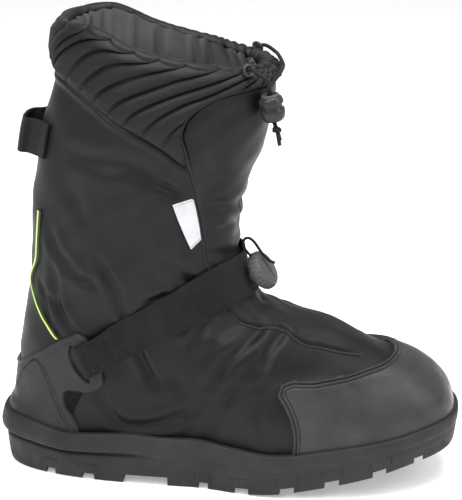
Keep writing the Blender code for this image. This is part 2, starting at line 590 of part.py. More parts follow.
# Pull loop at the back: flat webbing from one side of the back, out round and back to the other
LOOP_LOW, LOOP_HIGH = 0.7045, 0.7773
LOOP_REACH = 0.014
LOOP_BEND = [(0.357, 0.123), (0.75, 0.1107), (0.964, 0.0656), (1.0, 0.0)]
WEBBING = 0.0018
loopRows = []
for height in np.linspace(LOOP_LOW, LOOP_HIGH, 3):
    level = levelAt(height, 1)
    back = surface(0.0, level)[0]
    ends = [surface(u, level, 0.0014) for u in (0.080, 0.068, 0.056)]
    bend = [[back - reach * LOOP_REACH, -wide * BALL_WIDTH] for reach, wide in LOOP_BEND]
    half = [[p[0], p[1]] for p in ends] + bend
    plan = np.array(half + [[x, -y] for x, y in half[-2::-1]])
    loopRows.append(np.concatenate([smoothPath(plan, 2), np.full((len(smoothPath(plan, 2)), 1), height * BOOT_HEIGHT)], 1))
loopRows = np.array(loopRows)
loopAlong = np.gradient(loopRows, axis=1)
loopOut = np.stack([loopAlong[..., 1], -loopAlong[..., 0], np.zeros(loopRows.shape[:2])], -1)
loopOut /= -np.linalg.norm(loopOut, axis=-1, keepdims=True)
pull_loop = shellBetween("pull_loop", loopRows + WEBBING / 2 * loopOut, loopRows - WEBBING / 2 * loopOut)

# Adjuster at the instep: a thick round knob over the strap, seated at an angle, a level and a height over the shell
BUTTON_SEAT = (0.490, 7.675, 0.0142)
BUTTON_TILT = (-0.091, -0.092, 0.144)
KNOB_RADIUS = 0.014
knobProfile = [(0.0, 0.357), (0.786, 0.343), (0.929, 0.257), (1.0, 0.107), (1.0, -0.107), (0.914, -0.271), (0.75, -0.357),
               (0.393, -0.357), (0.357, -0.657), (0.0, -0.657)]
knobAt, knobAxis = seat(*BUTTON_SEAT)
knobAxis = knobAxis + np.array(BUTTON_TILT)
knobAxis /= np.linalg.norm(knobAxis)
strap_button = turned("strap_button", [(r * KNOB_RADIUS, h * KNOB_RADIUS) for r, h in knobProfile], knobAt, knobAxis, 24)

# Thin cord over the knob: a bight behind it and a short free tail in front. Each point is out along the knob's axis,
# up its face and across it, in millimetres.
CORD_THICK = 0.002
CORD_PATH = [(0.8, 17.5, -0.7), (0.3, 22.7, -1.5), (2.7, 24.4, -1.6), (4.9, 20.2, -1.0), (5.9, 14.2, -0.6), (6.6, 7.3, 0.0),
             (8.0, 2.9, 0.5), (10.4, -0.2, 1.1)]
knobUp = np.cross(knobAxis, (0, 1, 0))
knobUp /= np.linalg.norm(knobUp)
knobFrame = np.array([knobAxis, knobUp, np.cross(knobUp, knobAxis)])
strap_cord = tube("strap_cord", knobAt + smoothPath(CORD_PATH, 3) @ knobFrame * MM, CORD_THICK / 2)

# Eyelets of the drawcord at the front of the collar
eyeU, eyeV = pin(0.5273, 0.8939)
for side_name, turn in (("lateral", 1), ("medial", -1)):
    centre, away = seat(turn * eyeU, eyeV, 0.0098)
    ring(f"eyelet_{side_name}", centre, away, 0.0046, 0.0024, 0.0018, 16)

# Cord lock: a barrel that both ends of the drawcord pass through, lying over the front of the shaft
LOCK_SEAT = (0.435, 13.35, 0.0119)
lockAt = seat(*LOCK_SEAT)[0]
LOCK_AXIS = np.array((0.16, 0.04, -0.98))
LOCK_AXIS /= np.linalg.norm(LOCK_AXIS)
LOCK_LENGTH = 0.018
barrel = [(0.206, 0.5), (0.344, 0.5), (0.444, 0.39), (0.467, 0.17), (0.467, -0.17), (0.444, -0.39),
          (0.344, -0.5), (0.206, -0.5)]
cord_lock = turned("cord_lock", [(r * LOCK_LENGTH, h * LOCK_LENGTH) for r, h in barrel], lockAt, LOCK_AXIS, 18)

DRAWCORD = 0.0026

# Drawcord: one strand from each eyelet to the lock, and their short ends below it
acrossLock = np.cross(LOCK_AXIS, (0, 0, 1))
acrossLock /= np.linalg.norm(acrossLock)
for side_name, turn in (("lateral", 1), ("medial", -1)):
    start, away = seat(turn * eyeU, eyeV, 0.0108)
    inLock = lockAt + acrossLock * (0.0018 * turn)
    if turn > 0:
        strand = [start - away * 0.0016, start + away * 0.0024, lockAt + (-0.0080, -0.0110, 0.0240),
                  lockAt + (-0.0020, -0.0075, 0.0190)]
    else:
        strand = [start - away * 0.0016, start + away * 0.0012, seat(-eyeU - 0.016, eyeV, 0.0142)[0],
                  seat(-0.450, TOP - 0.50, 0.0128)[0],
                  seat(-0.475, TOP - 0.52, 0.0122)[0], lockAt + (0.0065, 0.0300, 0.0220), lockAt + (0.0060, 0.0190, 0.0210),
                  lockAt + (0.0030, 0.0115, 0.0180)]
    strand += [inLock - LOCK_AXIS * 0.0110, inLock, inLock + LOCK_AXIS * 0.0110]
    spreadEnd = np.array((0.0010, -0.0022 * turn, 0))
    strand += [inLock + LOCK_AXIS * 0.0160 + spreadEnd, inLock + LOCK_AXIS * 0.0190 + 2.4 * spreadEnd + (0, 0, -0.0055)]
    tube(f"drawcord_{side_name}", smoothPath(strand, 3), DRAWCORD / 2)

# The frame's origin is on the floor, under the middle of the sole
soleBox = np.array([vertex.co for vertex in outsole.data.vertices])
middle = (soleBox.min(axis=0) + soleBox.max(axis=0)) / 2
for made in bpy.data.objects:
    made.location -= Vector((middle[0], middle[1], 0))

# Finishes: colour, roughness, and the pieces that have it
FINISHES = {
    "sole rubber": ((0.055, 0.055, 0.058), 0.75, ("outsole",)),
    "insole felt": ((0.100, 0.100, 0.105), 0.95, ("insole",)),
    "shell nylon": ((0.035, 0.034, 0.036), 0.60, ("upper",)),
    "quilt nylon": ((0.032, 0.033, 0.037), 0.60, ("quilted_collar",)),
    "cap rubber": ((0.075, 0.073, 0.072), 0.55, ("toe_cap",)),
    "counter rubber": ((0.060, 0.060, 0.063), 0.60, ("heel_counter",)),
    "webbing": ((0.022, 0.020, 0.022), 0.80, ("instep_strap", "pull_loop")),
    "grey plastic": ((0.150, 0.150, 0.150), 0.45, ("strap_button", "cord_lock")),
    "cord": ((0.012, 0.012, 0.013), 0.80, ("strap_cord", "drawcord_lateral", "drawcord_medial")),
    "reflective piping": ((0.550, 0.720, 0.160), 0.35, ("piping_lateral", "piping_medial")),
    "woven label": ((0.750, 0.750, 0.780), 0.70, ("side_label",)),
    "black plastic": ((0.020, 0.020, 0.020), 0.40, ("eyelet_lateral", "eyelet_medial")),
}
for finish, (colour, roughness, pieces) in FINISHES.items():
    material = bpy.data.materials.new(finish)
    material.use_nodes = True
    shader = material.node_tree.nodes["Principled BSDF"]
    shader.inputs["Base Color"].default_value = (*colour, 1)
    shader.inputs["Roughness"].default_value = roughness
    shader.inputs["Metallic"].default_value = 0
    for piece in pieces:
        made = parts.objects[piece]
        made.data.materials.append(material)
        if made.type == "MESH" and made.data.polygons:
            made.data.shade_smooth()
            made.data.set_sharp_from_angle(angle=0.6)
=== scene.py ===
# Winter overshoe, right boot: the looks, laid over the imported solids. Toe along +X, lateral side toward -Y.
import math

import bmesh
import bpy
import numpy as np
from mathutils import Matrix, Vector
from mathutils.kdtree import KDTree


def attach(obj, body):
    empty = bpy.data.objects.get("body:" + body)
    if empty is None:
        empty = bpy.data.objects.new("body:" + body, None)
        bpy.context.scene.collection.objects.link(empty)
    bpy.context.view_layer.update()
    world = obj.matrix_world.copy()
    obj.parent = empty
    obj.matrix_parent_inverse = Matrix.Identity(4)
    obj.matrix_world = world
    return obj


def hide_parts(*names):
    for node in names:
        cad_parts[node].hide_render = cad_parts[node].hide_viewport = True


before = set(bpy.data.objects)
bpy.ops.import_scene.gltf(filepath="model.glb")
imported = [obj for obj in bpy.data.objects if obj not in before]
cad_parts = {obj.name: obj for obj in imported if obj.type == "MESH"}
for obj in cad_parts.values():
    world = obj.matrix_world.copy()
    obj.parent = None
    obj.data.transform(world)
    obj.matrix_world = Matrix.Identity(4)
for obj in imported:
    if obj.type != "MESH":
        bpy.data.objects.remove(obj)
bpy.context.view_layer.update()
mm = 0.001
print("frame loaded:", len(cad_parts), "nodes")

# camera, floor and light
cameraSetup = {"target": (0.0031, -0.0003, 0.150), "distance": 1.2, "azimuth": 6, "elevation": 20,
               "lens": 123.84, "shift": (-0.002, 0.032)}
lightSetup = {"sky": 0.50, "key": 13, "top": 26, "rim": 9, "front": 1, "floor": 0.30}


def lookFrom(azimuth, elevation, distance, target):
    a, e = math.radians(azimuth), math.radians(elevation)
    back = Vector((math.sin(a) * math.cos(e), -math.cos(a) * math.cos(e), math.sin(e)))
    return Vector(target) + back * distance, (-back).to_track_quat("-Z", "Y")


def softBox(name, azimuth, elevation, distance, size, power):
    lamp = bpy.data.lights.new(name, "AREA")
    lamp.shape = "RECTANGLE"
    lamp.size, lamp.size_y = size
    lamp.energy = power
    box = bpy.data.objects.new(name, lamp)
    box.rotation_mode = "QUATERNION"
    box.location, box.rotation_quaternion = lookFrom(azimuth, elevation, distance, (0, 0, 0.13))
    bpy.context.scene.collection.objects.link(box)


view = bpy.data.cameras.new("camera")
view.lens = cameraSetup["lens"]
view.shift_x, view.shift_y = cameraSetup["shift"]
viewer = bpy.data.objects.new("camera", view)
viewer.rotation_mode = "QUATERNION"
viewer.location, viewer.rotation_quaternion = lookFrom(cameraSetup["azimuth"], cameraSetup["elevation"],
                                                       cameraSetup["distance"], cameraSetup["target"])
bpy.context.scene.collection.objects.link(viewer)
bpy.context.scene.camera = viewer

softBox("keyLight", -35, 42, 1.5, (1.0, 1.0), lightSetup["key"])
softBox("topLight", 20, 80, 1.3, (1.2, 0.8), lightSetup["top"])
softBox("rimLight", 75, 30, 1.4, (0.5, 1.1), lightSetup["rim"])
softBox("frontLight", 10, 12, 1.8, (1.2, 0.6), lightSetup["front"])

sky = bpy.data.worlds.new("studio")
sky.use_nodes = True
sky.node_tree.nodes["Background"].inputs["Color"].default_value = (1, 1, 1, 1)
sky.node_tree.nodes["Background"].inputs["Strength"].default_value = lightSetup["sky"]
backdrop = sky.node_tree.nodes.new("ShaderNodeBackground")
backdrop.inputs["Color"].default_value = (1, 1, 1, 1)
whatSees = sky.node_tree.nodes.new("ShaderNodeLightPath")
choose = sky.node_tree.nodes.new("ShaderNodeMixShader")
sky.node_tree.links.new(whatSees.outputs["Is Camera Ray"], choose.inputs["Fac"])
sky.node_tree.links.new(sky.node_tree.nodes["Background"].outputs["Background"], choose.inputs[1])
sky.node_tree.links.new(backdrop.outputs["Background"], choose.inputs[2])
sky.node_tree.links.new(choose.outputs["Shader"], sky.node_tree.nodes["World Output"].inputs["Surface"])
bpy.context.scene.world = sky
bpy.context.scene.view_settings.view_transform = "Standard"


# finishes
def addNode(tree, kind, **values):
    node = tree.nodes.new(kind)
    for key, value in values.items():
        if key in node.inputs:
            node.inputs[key].default_value = value
        else:
            setattr(node, key, value)
    return node


def startFinish(name, roughness, sheen=0.0, coat=0.0):
    material = bpy.data.materials.new(name)
    material.use_nodes = True
    tree = material.node_tree
    shader = tree.nodes["Principled BSDF"]
    shader.inputs["Roughness"].default_value = roughness
    shader.inputs["Sheen Weight"].default_value = sheen
    shader.inputs["Sheen Roughness"].default_value = 0.5
    shader.inputs["Coat Weight"].default_value = coat
    shader.inputs["Specular IOR Level"].default_value = 0.20
    return material, tree, shader


def colourVariation(tree, shader, place, scale, dark, light):
    cloud = addNode(tree, "ShaderNodeTexNoise", Scale=scale, Detail=4.0)
    ramp = tree.nodes.new("ShaderNodeValToRGB")
    for stop, at, colour in zip(ramp.color_ramp.elements, (0.35, 0.65), (dark, light)):
        stop.position = at
        stop.color = (*colour, 1)
    tree.links.new(place, cloud.inputs["Vector"])
    tree.links.new(cloud.outputs["Fac"], ramp.inputs["Fac"])
    tree.links.new(ramp.outputs["Color"], shader.inputs["Base Color"])


def bumpFrom(tree, shader, height, strength, distance):
    bump = addNode(tree, "ShaderNodeBump", Strength=strength, Distance=distance)
    tree.links.new(height, bump.inputs["Height"])
    tree.links.new(bump.outputs["Normal"], shader.inputs["Normal"])


def weaveHeight(tree, uv, pitch, turn=0.0):
    # plain weave: two crossed bands, pitch in millimetres of cloth
    turned = addNode(tree, "ShaderNodeMapping", Rotation=(0, 0, turn))
    tree.links.new(uv, turned.inputs["Vector"])
    bands = []
    for direction in ("X", "Y"):
        wave = addNode(tree, "ShaderNodeTexWave", Scale=0.314 / pitch, Distortion=0.6,
                       bands_direction=direction)
        wave.inputs["Detail"].default_value = 1.0
        wave.inputs["Detail Scale"].default_value = 0.6
        tree.links.new(turned.outputs["Vector"], wave.inputs["Vector"])
        bands.append(wave)
    both = addNode(tree, "ShaderNodeMath", operation="MULTIPLY")
    tree.links.new(bands[0].outputs["Fac"], both.inputs[0])
    tree.links.new(bands[1].outputs["Fac"], both.inputs[1])
    return both.outputs[0]


def clothFinish(name, dark, light, roughness, pitch, depth, sheen=0.02, cloud=14):
    material, tree, shader = startFinish(name, roughness, sheen)
    place = tree.nodes.new("ShaderNodeTexCoord")
    colourVariation(tree, shader, place.outputs["Object"], cloud, dark, light)
    weave = weaveHeight(tree, place.outputs["UV"], pitch)
    grain = addNode(tree, "ShaderNodeTexNoise", Scale=450.0, Detail=3.0)
    tree.links.new(place.outputs["Object"], grain.inputs["Vector"])
    mix = addNode(tree, "ShaderNodeMath", operation="MULTIPLY_ADD")
    mix.inputs[1].default_value = 0.6
    tree.links.new(grain.outputs["Fac"], mix.inputs[0])
    tree.links.new(weave, mix.inputs[2])
    bumpFrom(tree, shader, mix.outputs[0], 0.55, depth)
    return material


def rubberFinish(name, dark, light, roughness, grainScale, depth, wear=0.12):
    material, tree, shader = startFinish(name, roughness)
    place = tree.nodes.new("ShaderNodeTexCoord")
    colourVariation(tree, shader, place.outputs["Object"], 30, dark, light)
    grain = addNode(tree, "ShaderNodeTexNoise", Scale=grainScale, Detail=5.0)
    scuff = addNode(tree, "ShaderNodeTexNoise", Scale=85.0, Detail=8.0)
    tree.links.new(place.outputs["Object"], grain.inputs["Vector"])
    tree.links.new(place.outputs["Object"], scuff.inputs["Vector"])
    rough = addNode(tree, "ShaderNodeMapRange")
    rough.inputs["From Min"].default_value = 0.35
    rough.inputs["From Max"].default_value = 0.7
    rough.inputs["To Min"].default_value = roughness - wear
    rough.inputs["To Max"].default_value = roughness + wear
    tree.links.new(scuff.outputs["Fac"], rough.inputs["Value"])
    tree.links.new(rough.outputs["Result"], shader.inputs["Roughness"])
    bumpFrom(tree, shader, grain.outputs["Fac"], 0.35, depth)
    return material


def webbingFinish(name, dark, light, pitch):
    material, tree, shader = startFinish(name, 0.75, 0.03)
    place = tree.nodes.new("ShaderNodeTexCoord")
    colourVariation(tree, shader, place.outputs["Object"], 60, dark, light)
    weave = weaveHeight(tree, place.outputs["UV"], pitch, 0.785)
    rib = addNode(tree, "ShaderNodeTexWave", Scale=0.314 / (pitch * 1.8), Distortion=0.3,
                  bands_direction="X")
    tree.links.new(place.outputs["UV"], rib.inputs["Vector"])
    both = addNode(tree, "ShaderNodeMath", operation="ADD")
    tree.links.new(weave, both.inputs[0])
    tree.links.new(rib.outputs["Fac"], both.inputs[1])
    bumpFrom(tree, shader, both.outputs[0], 0.8, 0.0004)
    return material


def cordFinish(name, dark, light):
    material, tree, shader = startFinish(name, 0.7, 0.05)
    place = tree.nodes.new("ShaderNodeTexCoord")
    colourVariation(tree, shader, place.outputs["Object"], 900, dark, light)
    braid = addNode(tree, "ShaderNodeTexWave", Scale=190.0, Distortion=2.5, bands_direction="DIAGONAL")
    tree.links.new(place.outputs["Object"], braid.inputs["Vector"])
    bumpFrom(tree, shader, braid.outputs["Fac"], 0.8, 0.0003)
    return material


finishes = {
    "shell": clothFinish("shellNylon", (0.0030, 0.0029, 0.0032), (0.0072, 0.0069, 0.0075), 0.44, 0.75,
                         0.00012),
    "quilt": clothFinish("quiltNylon", (0.0032, 0.0032, 0.0044), (0.0070, 0.0070, 0.0090), 0.46, 0.6,
                         0.00010),
    "lining": clothFinish("liningNylon", (0.075, 0.072, 0.074), (0.12, 0.116, 0.119), 0.42, 0.5, 0.00008),
    "felt": clothFinish("insoleFelt", (0.040, 0.040, 0.042), (0.075, 0.075, 0.078), 0.95, 1.8, 0.0005, 0.3,
                        240),
    "sole": rubberFinish("soleRubber", (0.0150, 0.0152, 0.0160), (0.0220, 0.0222, 0.0232), 0.60, 1400,
                         0.00018),
    "cap": rubberFinish("capRubber", (0.0235, 0.0228, 0.0222), (0.0350, 0.0340, 0.0330), 0.38, 1100,
                        0.00010),
    "counter": rubberFinish("counterRubber", (0.0180, 0.0180, 0.0192), (0.0250, 0.0250, 0.0265), 0.54,
                            1200, 0.00012),
    "webbing": webbingFinish("strapWebbing", (0.0030, 0.0026, 0.0030), (0.0080, 0.0073, 0.0080), 0.9),
    "loopWebbing": webbingFinish("loopWebbing", (0.0022, 0.0022, 0.0025), (0.0060, 0.0060, 0.0066), 0.9),
    "plastic": rubberFinish("knobPlastic", (0.050, 0.051, 0.050), (0.078, 0.079, 0.078), 0.40, 700,
                            0.00010),
    "lockPlastic": rubberFinish("lockPlastic", (0.018, 0.0185, 0.0185), (0.034, 0.035, 0.035), 0.26, 700,
                                0.00006),
    "cord": cordFinish("cordBraid", (0.002, 0.002, 0.0022), (0.006, 0.006, 0.0066)),
    # this dark finish serves the stitches, and also the painted shade lines along the side and vamp seams
    "threadAndSeamShade": cordFinish("sewingThreadAndSeamShade", (0.008, 0.008, 0.008), (0.022, 0.022, 0.023)),
}


def pipingFinish():
    # lime in the middle of the width, dark green at its two edges, from the strip's own U
    material, tree, shader = startFinish("reflectivePiping", 0.32, 0.0, 0.3)
    place = tree.nodes.new("ShaderNodeTexCoord")
    parts = tree.nodes.new("ShaderNodeSeparateXYZ")
    ramp = tree.nodes.new("ShaderNodeValToRGB")
    stops = ramp.color_ramp
    stops.elements[0].position, stops.elements[0].color = 0.0, (0.012, 0.028, 0.004, 1)
    stops.elements[1].position, stops.elements[1].color = 1.0, (0.012, 0.028, 0.004, 1)
    edge = (0.03, 0.06, 0.008, 1)
    for at, colour in ((0.24, edge), (0.34, (0.50, 0.66, 0.14, 1)), (0.66, (0.56, 0.72, 0.18, 1)),
                       (0.76, edge)):
        stops.elements.new(at).color = colour
    beads = addNode(tree, "ShaderNodeTexVoronoi", Scale=2200.0)
    tree.links.new(place.outputs["UV"], parts.inputs["Vector"])
    tree.links.new(parts.outputs["X"], ramp.inputs["Fac"])
    tree.links.new(ramp.outputs["Color"], shader.inputs["Base Color"])
    tree.links.new(place.outputs["Object"], beads.inputs["Vector"])
    bumpFrom(tree, shader, beads.outputs["Distance"], 0.4, 0.0001)
    return material


finishes["piping"] = pipingFinish()
finishes["label"] = clothFinish("wovenLabel", (0.50, 0.50, 0.53), (0.58, 0.58, 0.61), 0.7, 0.5, 0.00015,
                                0.02, 90)
print("finishes made:", len(finishes))


# the boot's own surface: sizes in metres, tables as shares of them
shell = {"length": 0.330, "width": 0.122, "height": 0.330, "toeSpring": 0.028, "roundness": 2.6,
         "peak": 0.0075, "peakAt": 0.2, "peakWide": 0.16, "peakRings": 2.5, "wall": 0.0018,
         "cupFloor": 0.014, "middle": (0.161887, 0.000259)}
springTable = [(0.0, 0.0), (0.52, 0.0), (0.60, 0.08), (0.70, 0.29), (0.80, 0.57), (0.90, 0.88),
               (0.96, 0.98), (1.0, 1.0)]
rimTable = [(0.0, 0.124), (0.06, 0.122), (0.16, 0.107), (0.22, 0.112), (0.29, 0.117), (0.36, 0.113),
            (0.43, 0.114), (0.52, 0.105), (0.60, 0.099), (0.67, 0.106), (0.74, 0.118), (0.80, 0.128),
            (0.87, 0.140), (0.94, 0.153), (1.0, 0.155)]
middleTable = [(0.0, 0.0), (0.2, -0.004), (0.35, -0.012), (0.5, -0.016), (0.62, -0.004), (0.72, 0.008),
               (0.82, 0.022), (0.90, 0.030), (1.0, 0.044)]
# back_x, back_z, front_x, front_z, share of the spring, then half widths at heel, waist, ball and toe
ringTable = [
    (0.024, 0.043, 0.963, 0.128, 1.00, 0.268, 0.330, 0.428, 0.377),
    (0.018, 0.124, 0.971, 0.160, 1.00, 0.275, 0.340, 0.443, 0.389),
    (0.030, 0.155, 0.950, 0.212, 0.62, 0.279, 0.347, 0.447, 0.369),
    (0.036, 0.188, 0.897, 0.259, 0.32, 0.283, 0.344, 0.422, 0.300),
    (0.041, 0.227, 0.818, 0.289, 0.12, 0.287, 0.340, 0.377, 0.254),
    (0.044, 0.285, 0.724, 0.334, 0.00, 0.291, 0.344, 0.348, 0.213),
    (0.055, 0.339, 0.625, 0.361, 0.00, 0.295, 0.357, 0.337, 0.203),
    (0.068, 0.406, 0.556, 0.398, 0.00, 0.295, 0.377, 0.346, 0.224),
    (0.074, 0.470, 0.520, 0.461, 0.00, 0.291, 0.398, 0.369, 0.250),
    (0.080, 0.539, 0.514, 0.533, 0.00, 0.287, 0.410, 0.385, 0.262),
    (0.085, 0.606, 0.523, 0.606, 0.00, 0.283, 0.418, 0.398, 0.270),
    (0.093, 0.673, 0.545, 0.682, 0.00, 0.283, 0.422, 0.402, 0.270),
    (0.106, 0.752, 0.566, 0.758, 0.00, 0.283, 0.418, 0.398, 0.266),
    (0.124, 0.812, 0.576, 0.812, 0.00, 0.279, 0.402, 0.381, 0.258),
    (0.146, 0.879, 0.580, 0.861, 0.00, 0.270, 0.377, 0.357, 0.246),
    (0.164, 0.982, 0.556, 0.900, 0.00, 0.266, 0.365, 0.344, 0.238),
]
top = len(ringTable) - 1
stationShares = np.array([0.12, 0.42, 0.66, 0.88])
ringSizes = np.array(ringTable) * ([shell["length"], shell["height"]] * 2 + [1] + [shell["width"]] * 4)


def curveBetween(p0, p1, p2, p3, t):
    # from p1 to p2, bent towards their neighbours
    return p1 + 0.5 * t * (p2 - p0 + t * (2 * p0 - 5 * p1 + 4 * p2 - p3 + t * (3 * (p1 - p2) + p3 - p0)))


def unitOf(vectors):
    return vectors / np.linalg.norm(vectors, axis=-1, keepdims=True)


def runAlong(points):
    # how far along a line each of its points is
    return np.concatenate([[0], np.cumsum(np.linalg.norm(np.diff(points, axis=0), axis=1))])


def rowsAt(table, share):
    # the values at a share of the way down a table
    rows = np.linspace(0, 1, len(table))
    return np.stack([np.interp(share, rows, column) for column in np.transpose(table)], -1)


def withMirror(columns, flipped):
    # columns that end at the front, then the same ones on the other side; flipped says which values are u
    other = columns[-2::-1].copy()
    other[:, flipped] = 1 - other[:, flipped]
    return np.concatenate([columns, other])


def smoothTable(table, share, size):
    xs, ys = np.array(table)[:, 0], np.array(table)[:, 1]
    slopes = np.gradient(ys, xs)
    steps = np.diff(ys)
    slopes[1:-1] = np.where(steps[1:] * steps[:-1] <= 0, 0, slopes[1:-1])
    share = np.clip(share, xs[0], xs[-1])
    left = np.clip(np.searchsorted(xs, share) - 1, 0, len(xs) - 2)
    width = xs[left + 1] - xs[left]
    t = (share - xs[left]) / width
    rise = ys[left] * (2 * t**3 - 3 * t**2 + 1) + ys[left + 1] * (3 * t**2 - 2 * t**3)
    return (rise + width * (slopes[left] * (t**3 - 2 * t**2 + t) + slopes[left + 1] * (t**3 - t**2))) * size


def ringAt(v):
    v = np.clip(v, 0, top)
    low = np.clip(np.floor(v).astype(int), 0, top - 1)
    t = (v - low)[..., None]
    return curveBetween(*(ringSizes[np.clip(low + step, 0, top)] for step in (-1, 0, 1, 2)), t)


def sideView(s, v):
    ring = ringAt(v)
    x = ring[..., 0] + s * (ring[..., 2] - ring[..., 0])
    sag = smoothTable(springTable, x / shell["length"], shell["toeSpring"]) - s * shell["toeSpring"]
    high = np.clip((v - top + shell["peakRings"]) / shell["peakRings"], 0, 1)**2
    peak = shell["peak"] * np.exp(-((s - shell["peakAt"]) / shell["peakWide"])**2) * high
    return x, ring[..., 1] + s * (ring[..., 3] - ring[..., 1]) + ring[..., 4] * sag + peak


def skinPoint(u, v):
    s = (1 - np.cos(2 * np.pi * u)) / 2
    x, z = sideView(s, v)
    n = shell["roundness"]
    widths = ringAt(v)[..., 5:9] / (1 - np.abs(stationShares * 2 - 1)**n)**(1 / n)
    left = np.clip(np.searchsorted(stationShares, s) - 1, 0, 2)
    t = np.clip((s - stationShares[left]) / (stationShares[left + 1] - stationShares[left]), 0, 1)
    t = t * t * (3 - 2 * t)
    low = np.take_along_axis(widths, left[..., None], -1)[..., 0]
    high = np.take_along_axis(widths, left[..., None] + 1, -1)[..., 0]
    half = np.maximum(1 - np.abs(2 * s - 1)**n, 0)**(1 / n) * (low + t * (high - low))
    y = smoothTable(middleTable, x / shell["length"], shell["width"]) - np.where(u % 1 <= 0.5, 1, -1) * half
    return np.stack([x - shell["middle"][0], y - shell["middle"][1], z], -1)


def onShell(u, v, lift=0.0):
    # u: 0 back, 0.25 lateral, 0.5 front, 0.75 medial; v: ring number; lift: metres out of the shell
    u, v = np.broadcast_arrays(np.asarray(u, float), np.asarray(v, float))
    along = skinPoint(u + 0.004, v) - skinPoint(u - 0.004, v)
    up = skinPoint(u, np.minimum(v + 0.05, top)) - skinPoint(u, np.maximum(v - 0.05, 0))
    return skinPoint(u, v) + unitOf(np.cross(along, up)) * np.asarray(lift)[..., None]


def pinned(marks):
    # (u, v) on the lateral side for side-view marks, millimetres from the heel and up
    marks = np.atleast_2d(np.array(marks, float))[:, :2] * mm
    gridS, gridV = np.meshgrid(np.linspace(0, 1, 81), np.linspace(0, top, 151))
    gx, gz = sideView(gridS, gridV)
    best = np.argmin((gx.ravel()[None] - marks[:, :1])**2 + (gz.ravel()[None] - marks[:, 1:])**2, axis=1)
    s, v = gridS.ravel()[best], gridV.ravel()[best]
    for _ in range(12):
        x0, z0 = sideView(s, v)
        xs, zs = sideView(s + 1e-4, v)
        xv, zv = sideView(s, v + 1e-3)
        a, b, c, d = (xs - x0) / 1e-4, (xv - x0) / 1e-3, (zs - z0) / 1e-4, (zv - z0) / 1e-3
        det = a * d - b * c
        det = np.where(np.abs(det) < 1e-9, 1e-9, det)
        ex, ez = marks[:, 0] - x0, marks[:, 1] - z0
        s = np.clip(s + np.clip((d * ex - b * ez) / det, -0.05, 0.05), 0, 1)
        v = np.clip(v + np.clip((a * ez - c * ex) / det, -0.5, 0.5), 0, top)
    return np.stack([np.arccos(1 - 2 * s) / (2 * np.pi), v], 1)


def levelAt(height, column):
    levels = np.linspace(1, top, 401)
    return float(np.interp(height, ringAt(levels)[:, column], levels))


def rimHeight(x):
    return smoothTable(rimTable, x / shell["length"], shell["height"])


def springHeight(x):
    return smoothTable(springTable, x / shell["length"], shell["toeSpring"])


def rimLevel(u):
    levels = np.linspace(0.6, 2.2, 161)
    points = skinPoint(np.full(161, u), levels)
    return float(np.interp(0, points[:, 2] - rimHeight(points[:, 0] + shell["middle"][0]) - 0.0004, levels))


def smoothLine(points, count):
    # a soft curve through the points, count places evenly along it
    points = np.array(points, float)
    padded = np.concatenate([2 * points[:1] - points[1:2], points, 2 * points[-1:] - points[-2:-1]])
    found = []
    for i in range(1, len(padded) - 2):
        found += [curveBetween(*padded[i - 1:i + 3], t) for t in np.linspace(0, 1, 12, endpoint=False)]
    found = np.array(found + [points[-1]])
    far = runAlong(found)
    wanted = np.linspace(0, far[-1], count)
    return np.stack([np.interp(wanted, far, column) for column in found.T], -1)


def gapTo(points, line, reach=0.03):
    # distance to the nearest place of a line, and how far along it that is
    best = np.full(len(points), 1e9)
    share = np.zeros(len(points))
    tree = KDTree(len(line))
    for k, place in enumerate(line):
        tree.insert(place, k)
    tree.balance()
    low, high = line.min(0) - reach, line.max(0) + reach
    for i in np.flatnonzero(((points > low) & (points < high)).all(1)):
        _, k, best[i] = tree.find(points[i])
        share[i] = k / max(len(line) - 1, 1)
    return best, share


def softStep(value, low, high):
    t = np.clip((value - low) / (high - low), 0, 1)
    return t * t * (3 - 2 * t)


# mesh helpers
def faceOut(mesh, outward=True):
    # turns an open sheet so that it faces away from the inside of the boot
    work = bmesh.new()
    work.from_mesh(mesh)
    bmesh.ops.remove_doubles(work, verts=work.verts, dist=1e-7)
    bmesh.ops.recalc_face_normals(work, faces=work.faces)
    total = 0.0
    for face in work.faces:
        middle = face.calc_center_median()
        if middle.z < 0.12:
            inside = Vector((middle.x * 0.75, 0, min(middle.z, 0.05)))
        else:
            inside = Vector((min(middle.x, -0.05), 0, middle.z))
        total += face.normal.dot(middle - inside) * face.calc_area()
    if (total > 0) != outward:
        bmesh.ops.reverse_faces(work, faces=work.faces)
    work.to_mesh(mesh)
    work.free()


def meshFrom(work, name):
    mesh = bpy.data.meshes.new(name)
    work.to_mesh(mesh)
    work.free()
    return mesh


def showPiece(name, mesh, finish, nodes=()):
    piece = bpy.data.objects.new(name, mesh)
    bpy.context.scene.collection.objects.link(piece)
    mesh.materials.clear()
    mesh.materials.append(finishes[finish])
    mesh.shade_smooth()
    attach(piece, "root")
    if nodes:
        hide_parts(*nodes)
    return piece


def layGrid(name, across, upward, place, unit, outward=True):
    # a flat grid laid over the boot: place(s, t) gives each point, and unit the cloth's size in millimetres
    work = bmesh.new()
    bmesh.ops.create_grid(work, x_segments=across, y_segments=upward, size=0.5)
    mesh = meshFrom(work, name)
    s, t, _ = readPoints(mesh).T + 0.5
    mesh.vertices.foreach_set("co", place(s, t).ravel())
    corners = np.empty(len(mesh.loops), int)
    mesh.loops.foreach_get("vertex_index", corners)
    sheet = mesh.uv_layers.new(name="UVMap")
    sheet.data.foreach_set("uv", np.stack([s[corners] * unit[0], t[corners] * unit[1]], 1).ravel())
    faceOut(mesh, outward)
    return mesh


def giveWall(piece, thickness):
    wall = piece.modifiers.new("wall", "SOLIDIFY")
    wall.thickness = thickness
    wall.offset = -1
    return piece


